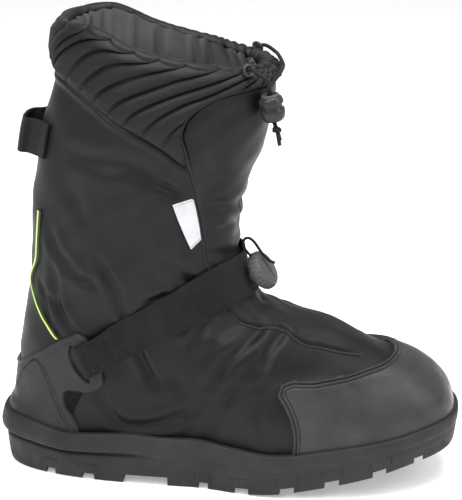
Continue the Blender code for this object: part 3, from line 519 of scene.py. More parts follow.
def gridAt(table, s, t):
    # smooth values between the rows and columns of a coarse (rows, columns, k) table
    rows, cols = table.shape[:2]
    x, y = np.clip(s, 0, 1) * (cols - 1), np.clip(t, 0, 1) * (rows - 1)
    i, j = np.clip(x.astype(int), 0, cols - 2), np.clip(y.astype(int), 0, rows - 2)
    fx, fy = (x - i)[:, None], (y - j)[:, None]

    def blendRow(row):
        return curveBetween(*(table[row, np.clip(i + step, 0, cols - 1)] for step in (-1, 0, 1, 2)), fx)

    return curveBetween(*(blendRow(np.clip(j + step, 0, rows - 1)) for step in (-1, 0, 1, 2)), fy)


def shellLine(marks, lift, count, side=1):
    # a line of places on the shell through side-view marks, on the lateral side or mirrored
    uv = smoothLine(pinned(marks) * (16, 1), count) / (16, 1)
    u = uv[:, 0] if side > 0 else 1 - uv[:, 0]
    return onShell(u, uv[:, 1], np.full(count, lift)), u, uv[:, 1]


def tubeAlong(name, points, radius, sides=10, ups=None):
    # a round roll: a ring at each point, square to the line, joined to the next one
    work = bmesh.new()
    rings = []
    across = None
    points = [Vector(p) for p in points]
    for i, point in enumerate(points):
        tangent = (points[min(i + 1, len(points) - 1)] - points[max(i - 1, 0)]).normalized()
        if ups is not None:
            across = Vector(ups[i])
        elif across is None:
            across = tangent.orthogonal()
        across = (across - tangent * across.dot(tangent)).normalized()
        size = radius[i] if hasattr(radius, "__len__") else radius
        turn = Matrix((tangent.cross(across), across, tangent)).transposed().to_4x4()
        turn.translation = point
        rings.append(bmesh.ops.create_circle(work, segments=sides, radius=size, matrix=turn)["verts"])
    for near, far in zip(rings, rings[1:]):
        for k in range(sides):
            work.faces.new((near[k], near[(k + 1) % sides], far[(k + 1) % sides], far[k]))
    work.faces.new(rings[0][::-1])
    work.faces.new(rings[-1])
    bmesh.ops.recalc_face_normals(work, faces=work.faces)
    return meshFrom(work, name)


def turnedMesh(name, profile, steps):
    # profile is (radius, height) in millimetres, spun round Z
    work = bmesh.new()
    points = [work.verts.new((r * mm, 0, h * mm)) for r, h in profile]
    edges = [work.edges.new(pair) for pair in zip(points, points[1:])]
    bmesh.ops.spin(work, geom=points + edges, cent=(0, 0, 0), axis=(0, 0, 1), angle=2 * math.pi,
                   steps=steps, use_merge=True, use_duplicate=False)
    bmesh.ops.remove_doubles(work, verts=work.verts, dist=1e-7)
    bmesh.ops.recalc_face_normals(work, faces=work.faces)
    return meshFrom(work, name)


def readPoints(mesh):
    flat = np.empty(len(mesh.vertices) * 3)
    mesh.vertices.foreach_get("co", flat)
    return flat.reshape(-1, 3)


def placeMesh(mesh, centre, axes):
    # moves a mesh made at the origin: axes are the directions its X, Y and Z take
    mesh.vertices.foreach_set("co", (readPoints(mesh) @ np.array(axes) + np.array(centre)).ravel())
    mesh.update()


def stitchRow(work, points, ups, length, gap, thick):
    # short raised stitches along a line
    points = np.array(points)
    far = runAlong(points)
    for k in range(int(far[-1] / (length + gap))):
        ends = [k * (length + gap), k * (length + gap) + length]
        a, b = (np.array([np.interp(e, far, points[:, c]) for c in range(3)]) for e in ends)
        up = Vector(ups[min(int(np.searchsorted(far, ends[0])), len(ups) - 1)])
        run = Vector(b - a)
        side = run.cross(up).normalized()
        turn = Matrix((run.normalized(), side, side.cross(run.normalized()))).transposed().to_4x4()
        turn.translation = Vector((a + b) / 2)
        shape = turn @ Matrix.Diagonal((length * 0.56, thick, thick * 0.8, 1))
        bmesh.ops.create_uvsphere(work, u_segments=6, v_segments=5, radius=1.0, matrix=shape)


def outOfShell(u, v):
    # the direction straight out of the shell
    return unitOf(onShell(u, v, np.full(np.shape(u), 0.001)) - onShell(u, v, np.zeros(np.shape(u))))


# upper
# creases: side-view marks, depth and width in millimetres, and the share of the depth left at each end
upperFolds = {"across": 320, "upward": 296, "wander": 0.00035, "fade": 0.35, "swell": 0.42,
              "seamRoll": 0.0009, "collarRoll": 0.0019, "vampRoll": 0.0016, "vampDip": 0.0010,
              "panel": 0.0024}
lateralCreases = [
    ([(55, 243), (71, 239), (90, 238), (108, 235), (125, 224), (133, 219)], 2.0, 6.0, (0.1, 0.9)),
    ([(118, 226), (132, 219)], 1.4, 2.4, (0.1, 0.7)),
    ([(42, 191), (49, 173), (63, 157), (76, 150)], 1.5, 3.6, (0.1, 0.3)),
    ([(79, 178), (83, 163), (90, 148), (96, 128)], 2.0, 3.2, (0.05, 1.0)),
    ([(106, 214), (104, 196), (105, 178)], 1.2, 5.5, (0.1, 0.2)),
    ([(128, 173), (134, 158), (143, 150)], 2.1, 3.8, (0.1, 1.1)),
    ([(112, 138), (124, 143)], 2.2, 2.6, (0.3, 0.8)),
    ([(144, 209), (157, 206), (172, 202), (176, 201)], 1.5, 4.2, (0.1, 1.0)),
    ([(155, 189), (163, 189), (172, 187)], 1.2, 3.2, (0.1, 1.0)),
    ([(150, 170), (161, 168), (171, 164)], 1.9, 4.2, (0.1, 1.0)),
    ([(38, 143), (48, 130), (55, 121)], 1.3, 2.8, (0.1, 0.4)),
    ([(34, 150), (39, 135), (42, 120)], 1.1, 2.4, (0.1, 0.4)),
    ([(47, 170), (49, 131), (60, 113)], 1.6, 3.0, (0.1, 0.8)),
    ([(64, 155), (75, 150)], 1.2, 2.8, (0.1, 0.2)),
    ([(59, 102), (61.5, 91), (68.5, 77.5)], 3.6, 2.3, (0.7, 0.7)),
    ([(105, 99), (109, 90), (115, 76)], 3.0, 3.0, (1.0, 0.1)),
    ([(150, 121), (143, 110), (137, 101)], 2.2, 3.4, (0.9, 0.1)),
    ([(188, 117), (177, 107), (162, 92), (153, 78), (147, 70)], 2.6, 3.8, (0.7, 0.1)),
    ([(178, 87), (168, 76), (161, 60)], 1.8, 3.6, (0.1, 0.1)),
    ([(202, 113), (194, 102), (188, 85)], 2.3, 3.4, (0.8, 0.1)),
    ([(156, 76), (144, 61), (128, 51), (112, 45), (94, 44), (84, 52), (79, 64), (78, 78)], 2.3, 4.0,
     (0.1, 0.2)),
    ([(117, 86), (119, 66)], 1.0, 4.0, (0.1, 0.1)),
    ([(129, 88), (134, 66)], 1.1, 4.0, (0.1, 0.1)),
    ([(191, 128), (186, 124), (178, 119)], 0.9, 4.2, (1.0, 0.3)),
    ([(193, 85), (189, 63), (193, 40)], 1.7, 3.4, (0.2, 0.6)),
    ([(170, 80), (161, 59), (152, 36)], 1.6, 3.8, (0.1, 0.5)),
    ([(131, 60), (138, 46), (137, 37)], 1.2, 3.2, (0.1, 0.5)),
    ([(57, 220), (66, 205), (70, 188)], 0.9, 5.0, (0.1, 0.1)),
    ([(120, 205), (124, 190), (121, 176)], 0.8, 4.5, (0.1, 0.1)),
    ([(150, 262), (158, 240), (160, 222)], 0.9, 5.0, (0.1, 0.1)),
]
medialCreases = [
    ([(52, 246), (74, 241), (96, 236), (120, 226)], 1.8, 5.5, (0.1, 0.6)),
    ([(44, 196), (56, 176), (74, 160), (92, 152)], 1.8, 4.0, (0.1, 0.3)),
    ([(90, 190), (97, 165), (104, 138)], 1.9, 3.6, (0.1, 0.9)),
    ([(124, 205), (118, 185), (124, 162)], 1.2, 5.0, (0.1, 0.2)),
    ([(146, 208), (158, 205), (172, 202), (176, 201)], 1.4, 4.0, (0.1, 1.0)),
    ([(146, 172), (158, 168), (171, 164)], 1.8, 4.2, (0.1, 1.0)),
    ([(40, 150), (50, 132), (60, 116)], 1.4, 3.0, (0.1, 0.5)),
    ([(59, 102), (61.5, 91), (68.5, 77.5)], 3.6, 2.3, (0.7, 0.7)),
    ([(100, 98), (104, 84), (112, 70)], 2.4, 3.2, (1.0, 0.1)),
    ([(154, 120), (146, 104), (142, 88)], 2.0, 3.6, (0.9, 0.1)),
    ([(192, 116), (178, 102), (166, 82), (160, 62)], 2.5, 4.0, (0.7, 0.1)),
    ([(206, 111), (197, 96), (193, 78)], 2.0, 3.4, (0.8, 0.1)),
    ([(150, 74), (136, 58), (116, 50), (96, 52), (86, 66)], 2.0, 4.2, (0.1, 0.2)),
    ([(184, 74), (178, 56), (182, 38)], 1.6, 3.6, (0.1, 0.5)),
    ([(126, 84), (130, 64)], 1.1, 4.0, (0.1, 0.1)),
    ([(191, 128), (186, 124), (179, 118)], 0.8, 4.2, (1.0, 0.3)),
]
sideSeam = [(135, 262), (136, 252), (141, 236), (145, 216), (148, 197), (151, 174), (153, 162), (157, 151),
            (161, 141)]
vampSeam = [(166, 129), (172, 122), (180, 118), (191, 116), (202, 115), (210, 110), (219, 105), (229, 103),
            (243, 99), (256, 96)]
panelEdge = [(141, 237), (139, 246), (136.5, 257), (139.5, 267), (147.5, 275.5), (159, 281.5), (173, 284),
             (186, 285), (200, 286)]
collarSeam = [(38, 293), (50, 291), (58, 288), (66, 283), (76, 277), (86, 270.5), (96, 264), (106, 259),
              (117, 253), (127, 246.5), (138, 237)]


def creaseLift(points, creases, side):
    lift = np.zeros(len(points))
    onSide = np.flatnonzero((points[:, 1] + shell["middle"][1]) * side < 0.012)
    for marks, deep, wide, (start, end) in creases:
        gap, share = gapTo(points[onSide], shellLine(marks, 0.0, 60, side)[0])
        gap /= wide * mm
        strength = np.minimum(start + (1 - start) * softStep(share, 0, upperFolds["fade"]),
                              end + (1 - end) * softStep(1 - share, 0, upperFolds["fade"]))
        trough = np.exp(-gap**2) - upperFolds["swell"] * np.exp(-((gap - 2.0) / 1.1)**2)
        lift[onSide] -= deep * mm * strength * trough
    return lift


def ridge(points, line, height, wide):
    gap, _ = gapTo(points, line)
    return height * np.exp(-(gap / wide)**2)


def insideOutline(x, z, outline):
    # how far inside an outline a side-view place is, in metres: negative outside
    corners = np.array(outline) * mm
    best = np.full(x.shape, 1e9)
    inside = np.zeros(x.shape, bool)
    for a, b in zip(corners, np.roll(corners, -1, axis=0)):
        run = b - a
        t = np.clip(((x - a[0]) * run[0] + (z - a[1]) * run[1]) / (run @ run), 0, 1)
        best = np.minimum(best, np.hypot(x - a[0] - t * run[0], z - a[1] - t * run[1]))
        crosses = (a[1] > z) != (b[1] > z)
        inside ^= crosses & (x < (b[0] - a[0]) * (z - a[1]) / (b[1] - a[1] + 1e-12) + a[0])
    return np.where(inside, best, -best)


def insidePanel(x, z):
    return insideOutline(x, z, panelEdge[:7] + [(240, 287), (240, 190), (152, 190)])


def upperLift(u, v, points):
    lift = creaseLift(points, lateralCreases, 1) + creaseLift(points, medialCreases, -1)
    # a slow unevenness of cloth over a lining, and a finer one
    wander = (np.sin(2 * np.pi * (3 * u + 0.21 * v) + 0.7) + np.sin(2 * np.pi * (5 * u - 0.33 * v) + 2.1)
              + 0.7 * np.sin(2 * np.pi * (9 * u + 0.52 * v) + 4.4)
              + 0.5 * np.sin(2 * np.pi * (14 * u - 0.9 * v) + 1.3))
    lift += upperFolds["wander"] * wander * softStep(v, 1.2, 3.0)
    for side in (1, -1):
        seam = shellLine(sideSeam, 0.0, 130, side)[0]
        lift += ridge(points, seam, upperFolds["seamRoll"], 0.0022)
        fold = shellLine(collarSeam, 0.0, 130, side)[0]
        fold[:, 2] -= 0.0035
        lift += ridge(points, fold, upperFolds["collarRoll"], 0.0026)
        vamp = shellLine(vampSeam, 0.0, 130, side)[0]
        lift += ridge(points, vamp + np.array([0.001, 0, 0.0025]), upperFolds["vampRoll"], 0.0024)
        lift -= ridge(points, vamp + np.array([-0.0002, 0, -0.0012]), upperFolds["vampDip"], 0.0014)
    x, z = points[:, 0] + shell["middle"][0], points[:, 2]
    return lift + upperFolds["panel"] * softStep(insidePanel(x, z), 0.0, 0.0015) * softStep(z, 0.222, 0.238)


def upperPlace(s, t):
    u = s % 1.0
    v = 0.55 + t * (top - 0.25 - 0.55)
    base = onShell(u, v, np.zeros(len(u)))
    return onShell(u, v, upperLift(u, v, base))


upperMesh = layGrid("upperCloth", upperFolds["across"], upperFolds["upward"], upperPlace, (400, 290))
showPiece("upperCloth", upperMesh, "shell", ["upper"])
print("upper cloth:", len(upperMesh.polygons), "faces")

liningSetup = {"across": 200, "upward": 120, "gather": 0.0016}


def liningPlace(s, t):
    u = s % 1.0
    v = 0.10 + t * (top - 0.12 - 0.10)
    high = softStep(v, top - 4.5, top - 0.5)
    pleats = (np.sin(2 * np.pi * 31 * u + 1.5 * np.sin(2 * np.pi * 3 * u))
              + 0.6 * np.sin(2 * np.pi * 47 * u + 0.4 * v))
    waves = 0.0004 * (1 + np.sin(2 * np.pi * (4 * u + 0.3 * v)))
    gather = liningSetup["gather"] * high * (pleats - 1.6) - waves
    return onShell(u, v, -shell["wall"] - 0.0012 + gather)


liningMesh = layGrid("innerLining", liningSetup["across"], liningSetup["upward"], liningPlace, (380, 300),
                     False)
showPiece("innerLining", liningMesh, "lining")

# quilted collar
quilt = {"base": 0.0020, "puff": 0.0050, "channel": 0.34, "gather": 0.0016, "inner": 0.0030,
         "faceFrom": 0.04, "faceTo": 0.82, "roundTo": 0.94, "down": 0.42,
         "ribFeet": (52, 61, 70, 79, 89, 99), "ribTops": (92, 107, 122, 139, 158, 173),
         "frontFeet": ((111, 0.435), (124, 0.457), (138, 0.474), (152, 0.486), (170, 0.494)),
         "seam": collarSeam + [(152, 232), (170, 228)]}


def rimShare(x):
    shares = np.linspace(0, 1, 201)
    s = np.interp(x * mm, sideView(shares, np.full(201, float(top)))[0], shares)
    return float(np.arccos(1 - 2 * s) / (2 * np.pi))


def seamFoot(x):
    marks = np.array(quilt["seam"])
    return list(pinned([(x, np.interp(x, marks[:, 0], marks[:, 1]))])[0])


seamBack = levelAt(0.293, 1)
ribLines = [[0.0, seamBack, 0.0, top], [0.024, seamBack, rimShare(62), top],
            [0.048, seamBack, rimShare(77), top]]
ribEnds = zip(quilt["ribFeet"], quilt["ribTops"])
ribLines += [seamFoot(foot) + [rimShare(high), top] for foot, high in ribEnds]
ribLines += [seamFoot(foot) + [high, top] for foot, high in quilt["frontFeet"]]
ribLines = np.array(ribLines + [[0.5, levelAt(0.227, 3), 0.5, top]])
ribCount = len(ribLines) - 1


def collarPlace(s, tau):
    c = s * 2 * ribCount
    other = c > ribCount
    c = np.where(other, 2 * ribCount - c, c)
    k = np.clip(c.astype(int), 0, ribCount - 1)
    f = c - k
    line = ribLines[k] + f[:, None] * (ribLines[k + 1] - ribLines[k])
    puff = np.sin(np.pi * f)**quilt["channel"]
    t = np.clip((tau - quilt["faceFrom"]) / (quilt["faceTo"] - quilt["faceFrom"]), 0, 1)
    angle = np.clip((tau - quilt["faceTo"]) / (quilt["roundTo"] - quilt["faceTo"]), 0, 1) * np.pi
    down = np.clip((tau - quilt["roundTo"]) / (1 - quilt["roundTo"]), 0, 1)
    u = line[:, 0] + t**1.6 * (line[:, 2] - line[:, 0])
    fade = np.interp(t, [0, 0.05, 0.15, 0.35, 0.85, 0.95, 1.0], [0.15, 0.5, 0.8, 1.0, 1.0, 0.85, 0.66])
    lift = (quilt["base"] + quilt["puff"] * puff) * fade + 0.0018
    # the soft round of the top edge, from the outer face over to the lining
    reach = (lift + quilt["inner"]) / 2
    perLevel = np.linalg.norm(skinPoint(u, np.full(len(u), top))
                              - skinPoint(u, np.full(len(u), top - 0.2)), axis=1) / 0.2
    highest = top - reach / perLevel
    v = line[:, 1] + (1 - (1 - t)**1.25) * (highest - line[:, 1])
    u = np.where(other, 1 - u, u)
    lip = np.clip(tau / quilt["faceFrom"], 0, 1)
    lift = 0.0002 + (lift - 0.0002) * np.sqrt(lip)
    # the front gathers on its drawcord
    frontness = np.exp(-((u - 0.5) / np.where(u > 0.5, 0.17, 0.085))**2) * softStep(v, top - 1.3, top - 0.6)
    pleats = np.sin(2 * np.pi * 62 * u + 2.2 * np.sin(2 * np.pi * 9 * u))
    lift = lift + quilt["gather"] * frontness * pleats * (1 - down)
    lift = lift + 0.00022 * np.sin(2 * np.pi * 34 * t + 5 * f) * np.sin(np.pi * f) * fade
    base = onShell(u, v, np.zeros(len(u)))
    keep = 1 - softStep(insidePanel(base[:, 0] + shell["middle"][0], base[:, 2]), -0.0012, 0.0012)
    lift = np.where(angle > 0, lift, lift * keep - 0.0012 * (1 - keep))
    centre = (lift - quilt["inner"]) / 2
    radius = (lift + quilt["inner"]) / 2
    offset = np.where(angle > 0, centre + radius * np.cos(angle), lift)
    upward = unitOf(skinPoint(u, v) - skinPoint(u, v - 0.1))
    points = onShell(u, v - quilt["down"] * down, offset)
    return points + upward * (radius * 0.95 * np.sin(angle))[:, None]


collarMesh = layGrid("quiltedCollar", ribCount * 2 * 14, 130, collarPlace, (420, 100))
quiltedCollar = showPiece("quiltedCollar", collarMesh, "quilt", ["quilted_collar"])
print("quilted collar:", len(collarMesh.polygons), "faces")

# rolled welt round the front panel, and down the side seams
# the last two are the thicknesses of the painted shade lines along the side and vamp seams
weltSetup = {"radius": 0.0013, "lift": 0.0034, "foot": 0.0009, "sideSeamShade": 0.00070, "vampSeamShade": 0.00100}
panelRun = [(139, 240)] + panelEdge[1:7]
panelUv = pinned(panelRun)
frontLevel = levelAt(0.2855, 3)
panelUv = np.concatenate([panelUv, [[0.455, frontLevel + 0.02], [0.48, frontLevel + 0.01],
                                    [0.5, frontLevel]]])
weltUv = smoothLine(withMirror(panelUv, [0]) * (16, 1), 240).T / [[16], [1]]
weltPoints = onShell(*weltUv, np.full(240, weltSetup["lift"]))
weltRoll = tubeAlong("panelWelt", weltPoints, weltSetup["radius"], 10, outOfShell(*weltUv))
showPiece("panelWelt", weltRoll, "shell")
for side, name in ((1, "Lateral"), (-1, "Medial")):
    _, u, v = shellLine([(139.4, 243)] + sideSeam[2:], 0.0, 150, side)
    size = np.linspace(weltSetup["radius"], weltSetup["foot"], 150)
    lift = np.linspace(0.0030, 0.0002, 150) * np.exp(-np.linspace(0, 3, 150)) + weltSetup["foot"]
    roll = tubeAlong("sideSeamRoll" + name, onShell(u, v, lift), size, 8, outOfShell(u, v))
    showPiece("sideSeamRoll" + name, roll, "shell")
    # painted shade: dark lines along the side and vamp seams, standing in for the shaded gap where one piece
    # of cloth meets the next
    seamShades = bmesh.new()
    for marks, shift, thick in ((sideSeam[2:], (-1.5, 0.0), weltSetup["sideSeamShade"]),
                                (vampSeam, (-0.3, -1.4), weltSetup["vampSeamShade"])):
        moved = [(x + shift[0], z + shift[1]) for x, z in marks]
        points, u, v = shellLine(moved, 0.0, 120, side)
        points = onShell(u, v, upperLift(u, v, points) + 0.0002)
        seamShades.from_mesh(tubeAlong("seamShadeLine", points, thick, 6, outOfShell(u, v)))
    showPiece("seamShadeLines" + name, meshFrom(seamShades, "seamShadeLines" + name), "threadAndSeamShade")

# toe cap
# beads: distance from the border, height and width; grooves: distance from the border, in millimetres
capSetup = {"columns": 250, "rows": 120, "out": 0.0026, "beads": ((1.2, 0.9, 0.8), (3.6, 0.75, 0.8)),
            "grooves": (2.45, 4.9), "grooveDeep": 0.8, "grooveWide": 0.42, "wall": 0.0014, "below": 0.12}
# where each column of the cap starts on the rim, and the side-view mark where it ends
capTable = [(212, 201, 75), (216, 203, 81.5), (224, 210, 83.5), (240, 225, 82.5), (261, 246, 84.5),
            (284, 259, 87)]


def crestLevel(x):
    levels = np.linspace(0.9, 8.5, 400)
    return float(levels[np.argmin(np.abs(ringAt(levels)[:, 2] - x * mm))])


capColumns = []
for foot, x, z in capTable:
    footShare = pinned([(foot, rimHeight(foot * mm) / mm)])[0][0]
    capColumns.append([footShare, rimLevel(footShare) - capSetup["below"], *pinned([(x, z)])[0]])
for u, highU, x in ((0.43, 0.432, 281.5), (0.47, 0.470, 279.5), (0.5, 0.5, 279)):
    capColumns.append([u, rimLevel(u) - capSetup["below"], highU, crestLevel(x)])
capColumns = withMirror(np.array(capColumns), [0, 2])
capRun = runAlong(capColumns * (10, 1, 10, 1))
capColumns = np.stack([np.interp(np.linspace(0, capRun[-1], 400), capRun, values)
                       for values in capColumns.T], 1)


def capUv(s, t):
    lowU, lowV, highU, highV = rowsAt(capColumns, s).T
    return lowU + t * (highU - lowU), lowV + t * (highV - lowV)


def freeEdges(ends, across):
    # up one end, along the top and down the other end, as shares of a sheet
    up, over = np.linspace(0, 1, ends), np.linspace(0, 1, across)
    s = np.concatenate([np.zeros(ends), over, np.ones(ends)])
    return s, np.concatenate([up, np.ones(across), up[::-1]])


capBorder = onShell(*capUv(*freeEdges(500, 2600)))


def capPlace(s, t):
    s = (1 - np.cos(np.pi * s)) / 2
    t = 1 - (1 - t)**2
    u, v = capUv(s, t)
    base = onShell(u, v, np.zeros(len(u)))
    gap = gapTo(base, capBorder)[0] / mm
    lift = capSetup["out"] * softStep(gap, -0.2, 0.7)
    for at, height, wide in capSetup["beads"]:
        lift = lift + height * mm * np.exp(-((gap - at) / wide)**2)
    for at in capSetup["grooves"]:
        lift = lift - capSetup["grooveDeep"] * mm * np.exp(-((gap - at) / capSetup["grooveWide"])**2)
    return onShell(u, v, lift)


capMesh = layGrid("toeCap", capSetup["columns"], capSetup["rows"], capPlace, (260, 70))
giveWall(showPiece("toeCap", capMesh, "cap", ["toe_cap"]), capSetup["wall"])
print("toe cap:", len(capMesh.polygons), "faces")

# heel counter
counterSetup = {"columns": 300, "rows": 150, "out": 0.0028, "slot": ((58.3, 102.5), (61, 91), (69.3, 76.8)),
                "slotWide": 3.1, "rim": 0.45,
                "lines": {"arch": ((0.5, 1.6), (-1.5, 0.55)), "outer": ((-0.9, 0.5),)}}
# where the top edge runs at the back, then the lower and upper edge of the wing, side-view marks
counterBack = [(20, 83), (31, 92), (40, 99), (46, 104), (55, 109)]
counterFront = [(61, 35, 62, 112.5), (63.5, 53, 64.2, 112.2), (66, 66.5, 66.5, 111.2), (72, 69, 70, 108),
                (77.5, 73, 75, 98), (80, 78, 79, 87)]
counterEdges = [(x, rimHeight(x * mm) / mm - 2.5, x, z) for x, z in counterBack]
counterEdges = np.array(counterEdges + counterFront, float)
counterLevels = np.linspace(0, 1, 13)
backLevels = levelAt(0.038, 1), levelAt(0.077, 1)
counterGrid = []
for t in counterLevels:
    marks = counterEdges[:, :2] + t * (counterEdges[:, 2:] - counterEdges[:, :2])
    row = pinned(marks)
    behind = backLevels[0] + t * (backLevels[1] - backLevels[0])
    between = [(k, np.interp(k, [0, row[0][0]], [behind, row[0][1]])) for k in (0.0, 0.012, 0.024, 0.036)]
    half = np.array(between + [tuple(p) for p in row])
    flipped = half[:0:-1] * (-1, 1)
    counterGrid.append(np.concatenate([flipped, half]))
counterGrid = np.array(counterGrid)
columnRun = runAlong(onShell(*counterGrid[6].T))
columnShare = columnRun / columnRun[-1]


def counterUv(s, t):
    where = np.interp(s, columnShare, np.linspace(0, 1, len(columnShare)))
    found = gridAt(counterGrid, where, t)
    return found[:, 0] % 1.0, found[:, 1]


counterBorder = onShell(*counterUv(*freeEdges(400, 2200)))
counterMarks = {"arch": [(15, 60), (19, 72), (25, 81), (31, 87), (36, 81), (41, 68), (45, 55), (50, 44),
                         (55, 36.5)],
                "outer": [(34, 87.5), (39, 80), (44, 67.5), (48, 54.5), (53, 43.5), (58, 36)],
                "cloth": [(50.2, 59), (50.8, 64.5), (54.5, 67.6), (61, 68.2), (66.5, 66.8), (90, 66.8),
                          (90, 30), (61, 30), (60.2, 37.5), (57.5, 44), (54.5, 49.5), (51.4, 54)],
                "tabLeft": [(53.5, 67), (51.2, 64), (50.6, 59), (52, 53.8), (55.6, 48.6)],
                "tabRight": [(66, 66.6), (64, 62.5), (61.5, 58), (58.8, 53), (56.2, 48.6)]}


def counterPlace(s, t):
    u, v = counterUv(s, t)
    base = onShell(u, v)
    gap = gapTo(base, counterBorder)[0] / mm
    rim = counterSetup["rim"] * mm * np.exp(-((gap - 1.6) / 1.3)**2)
    lift = counterSetup["out"] * softStep(gap, -0.3, 0.8) + rim
    lift -= 0.35 * mm * np.exp(-((gap - 4.2) / 0.9)**2)
    for side in (1, -1):
        for marks, line in counterSetup["lines"].items():
            near, _ = gapTo(base, shellLine(counterMarks[marks], 0.0, 160, side)[0])
            for height, wide in line:
                lift += height * mm * np.exp(-(near / (wide * mm))**2)
        x = base[:, 0] + shell["middle"][0]
        showing = softStep(insideOutline(x, base[:, 2], counterMarks["cloth"]), -0.0005, 0.0003)
        showing = np.where(base[:, 1] * side < 0, showing, 0)
        lift = lift * (1 - showing) - 0.0016 * showing
        near, share = gapTo(base, shellLine(counterSetup["slot"], 0.0, 60, side)[0])
        taper = np.clip(np.sin(np.pi * np.clip(share, 0.02, 0.98)), 0, 1)
        lens = counterSetup["slotWide"] * mm * np.sqrt(taper)
        pit = 1 - softStep(near, lens - 0.0003, lens + 0.0005)
        raised = 0.5 * mm * np.exp(-((near - lens - 0.0014) / 0.0009)**2)
        lift = lift * (1 - pit) + 0.0001 * pit + raised * (1 - pit)
    return onShell(u, v, lift)


counterMesh = layGrid("heelCounter", counterSetup["columns"], counterSetup["rows"], counterPlace, (220, 80))
giveWall(showPiece("heelCounter", counterMesh, "counter", ["heel_counter"]), 0.0004)
tabLift = {"out": 0.0013, "rib": 0.00035}


def tabPlace(side):
    def place(s, t):
        left = smoothLine(pinned(counterMarks["tabLeft"]), 60)
        right = smoothLine(pinned(counterMarks["tabRight"]), 60)
        ends = [rowsAt(edge, t) for edge in (left, right)]
        uv = ends[0] + s[:, None] * (ends[1] - ends[0])
        rim = softStep(np.minimum(np.minimum(s, 1 - s) * 5, np.minimum(t, 1 - t) * 6), 0.0, 0.6)
        ribs = tabLift["rib"] * np.sin(2 * np.pi * (s * 8 + t * 9))
        return onShell(uv[:, 0] if side > 0 else 1 - uv[:, 0], uv[:, 1],
                       -0.0004 + (tabLift["out"] + ribs) * rim)
    return place


for side, name in ((1, "Lateral"), (-1, "Medial")):
    mesh = layGrid("counterTab" + name, 40, 50, tabPlace(side), (12, 18))
    showPiece("counterTab" + name, mesh, "webbing")
print("heel counter:", len(counterMesh.polygons), "faces")

# strap
strapSetup = {"columns": 330, "rows": 26, "thick": 0.0017, "wall": 0.0015, "doubled": 0.0012}
# side-view marks of the lower and upper edge in millimetres, and the lift off the shell in metres
strapTable = [(67.4, 79.5, 59.4, 101.0, 0.0012), (69.2, 80.1, 61.0, 102.3, 0.0040),
              (76, 84, 68, 107.5, 0.0041), (84, 88.5, 76, 112.5, 0.0040), (92, 93, 84, 118.5, 0.0024),
              (100, 98, 92, 124, 0.0018), (114, 106, 106, 132.5, 0.0017), (128, 113.5, 119, 140.5, 0.0017),
              (142, 121, 134, 149.5, 0.0018), (154, 127.5, 148, 157.5, 0.0020),
              (165, 131.5, 160, 163.0, 0.0025), (174, 134, 168, 164.5, 0.0029)]
strapLows = pinned([row[:2] for row in strapTable])
strapHighs = pinned([row[2:4] for row in strapTable])
strapColumns = np.concatenate([strapLows, strapHighs, np.array([[row[4]] for row in strapTable])], 1)
strapColumns = np.concatenate([strapColumns, [[0.5, levelAt(0.134, 3), 0.5, levelAt(0.163, 3), 0.0032]]])
strapColumns = smoothLine(withMirror(strapColumns, [0, 2]) * (10, 1, 10, 1, 1), 300) / (10, 1, 10, 1, 1)


def strapUv(s, t):
    lowU, lowV, highU, highV, lift = rowsAt(strapColumns, s).T
    return lowU + t * (highU - lowU), lowV + t * (highV - lowV), lift


def strapPlace(s, t):
    u, v, lift = strapUv(s, t)
    near = np.minimum(s, 1 - s)
    doubled = (1 - softStep(near, 0.098, 0.106)) * softStep(near, 0.0, 0.02)
    edge = np.minimum(t, 1 - t) * 26
    selvedge = -0.0005 * np.exp(-((edge - 1.6) / 0.7)**2) - 0.0006 * (1 - softStep(edge, -0.5, 0.8))
    sewn = 0.00025 * np.sin(2 * np.pi * near * 120) * doubled
    return onShell(u, v, lift + strapSetup["thick"] + strapSetup["doubled"] * doubled + selvedge + sewn)


strapMesh = layGrid("instepStrap", strapSetup["columns"], strapSetup["rows"], strapPlace, (310, 25.5))
giveWall(showPiece("instepStrap", strapMesh, "webbing", ["instep_strap"]), strapSetup["wall"])
print("strap:", len(strapMesh.polygons), "faces")

# outsole
soleSetup = {"steps": 352, "sidewall": 0.005, "reach": 0.09, "ridge": 0.0085, "longDeep": 0.0042,
             "long": (0.030, 0.300), "heelLip": 0.46, "blockLine": 0.00042}
# the sidewall from the tread up: how far out, how much further at the heel, and the share of the height
soleRows = [(0.44, -0.20, 0.0), (0.60, -0.16, 0.015), (0.70, -0.10, 0.06), (0.74, -0.06, 0.12),
            (0.90, 0.02, 0.42), (0.925, 0.04, 0.485), (0.90, 0.02, 0.53), (0.855, 0.0, 0.56),
            (0.855, 0.0, 0.585), (0.90, 0.20, 0.61), (1.02, 0.48, 0.635), (1.10, 0.56, 0.68),
            (1.16, 0.57, 0.76), (1.18, 0.34, 0.88), (1.17, 0.16, 0.955), (1.10, 0.10, 0.99),
            (1.00, 0.07, 1.0)]
# grooves across the tread in millimetres from the heel: from, to, depth, and whether it runs right through
crossGrooves = [(35, 42, 5.0, False), (62, 71, 5.0, False), (92, 124, 7.0, True), (146, 153, 5.0, False),
                (172, 182, 5.0, False), (204, 214, 5.0, False), (235, 245, 5.0, False),
                (268, 277, 4.5, False), (296, 302, 4.0, False)]
longGrooves = [(-0.0159, -0.0104), (0.0104, 0.0159)]
# raised outlines of the blocks above the pockets: from, to, and heights over the tread, in millimetres
soleBlocks = [(33, 44, 7.5, 12), (60, 73, 7.5, 12), (143.5, 155.5, 7, 11.5), (169.5, 184.5, 7, 12),
              (201.5, 216.5, 7, 12.5), (232.5, 247.5, 7, 12.5), (265.5, 279.5, 6.5, 12)]


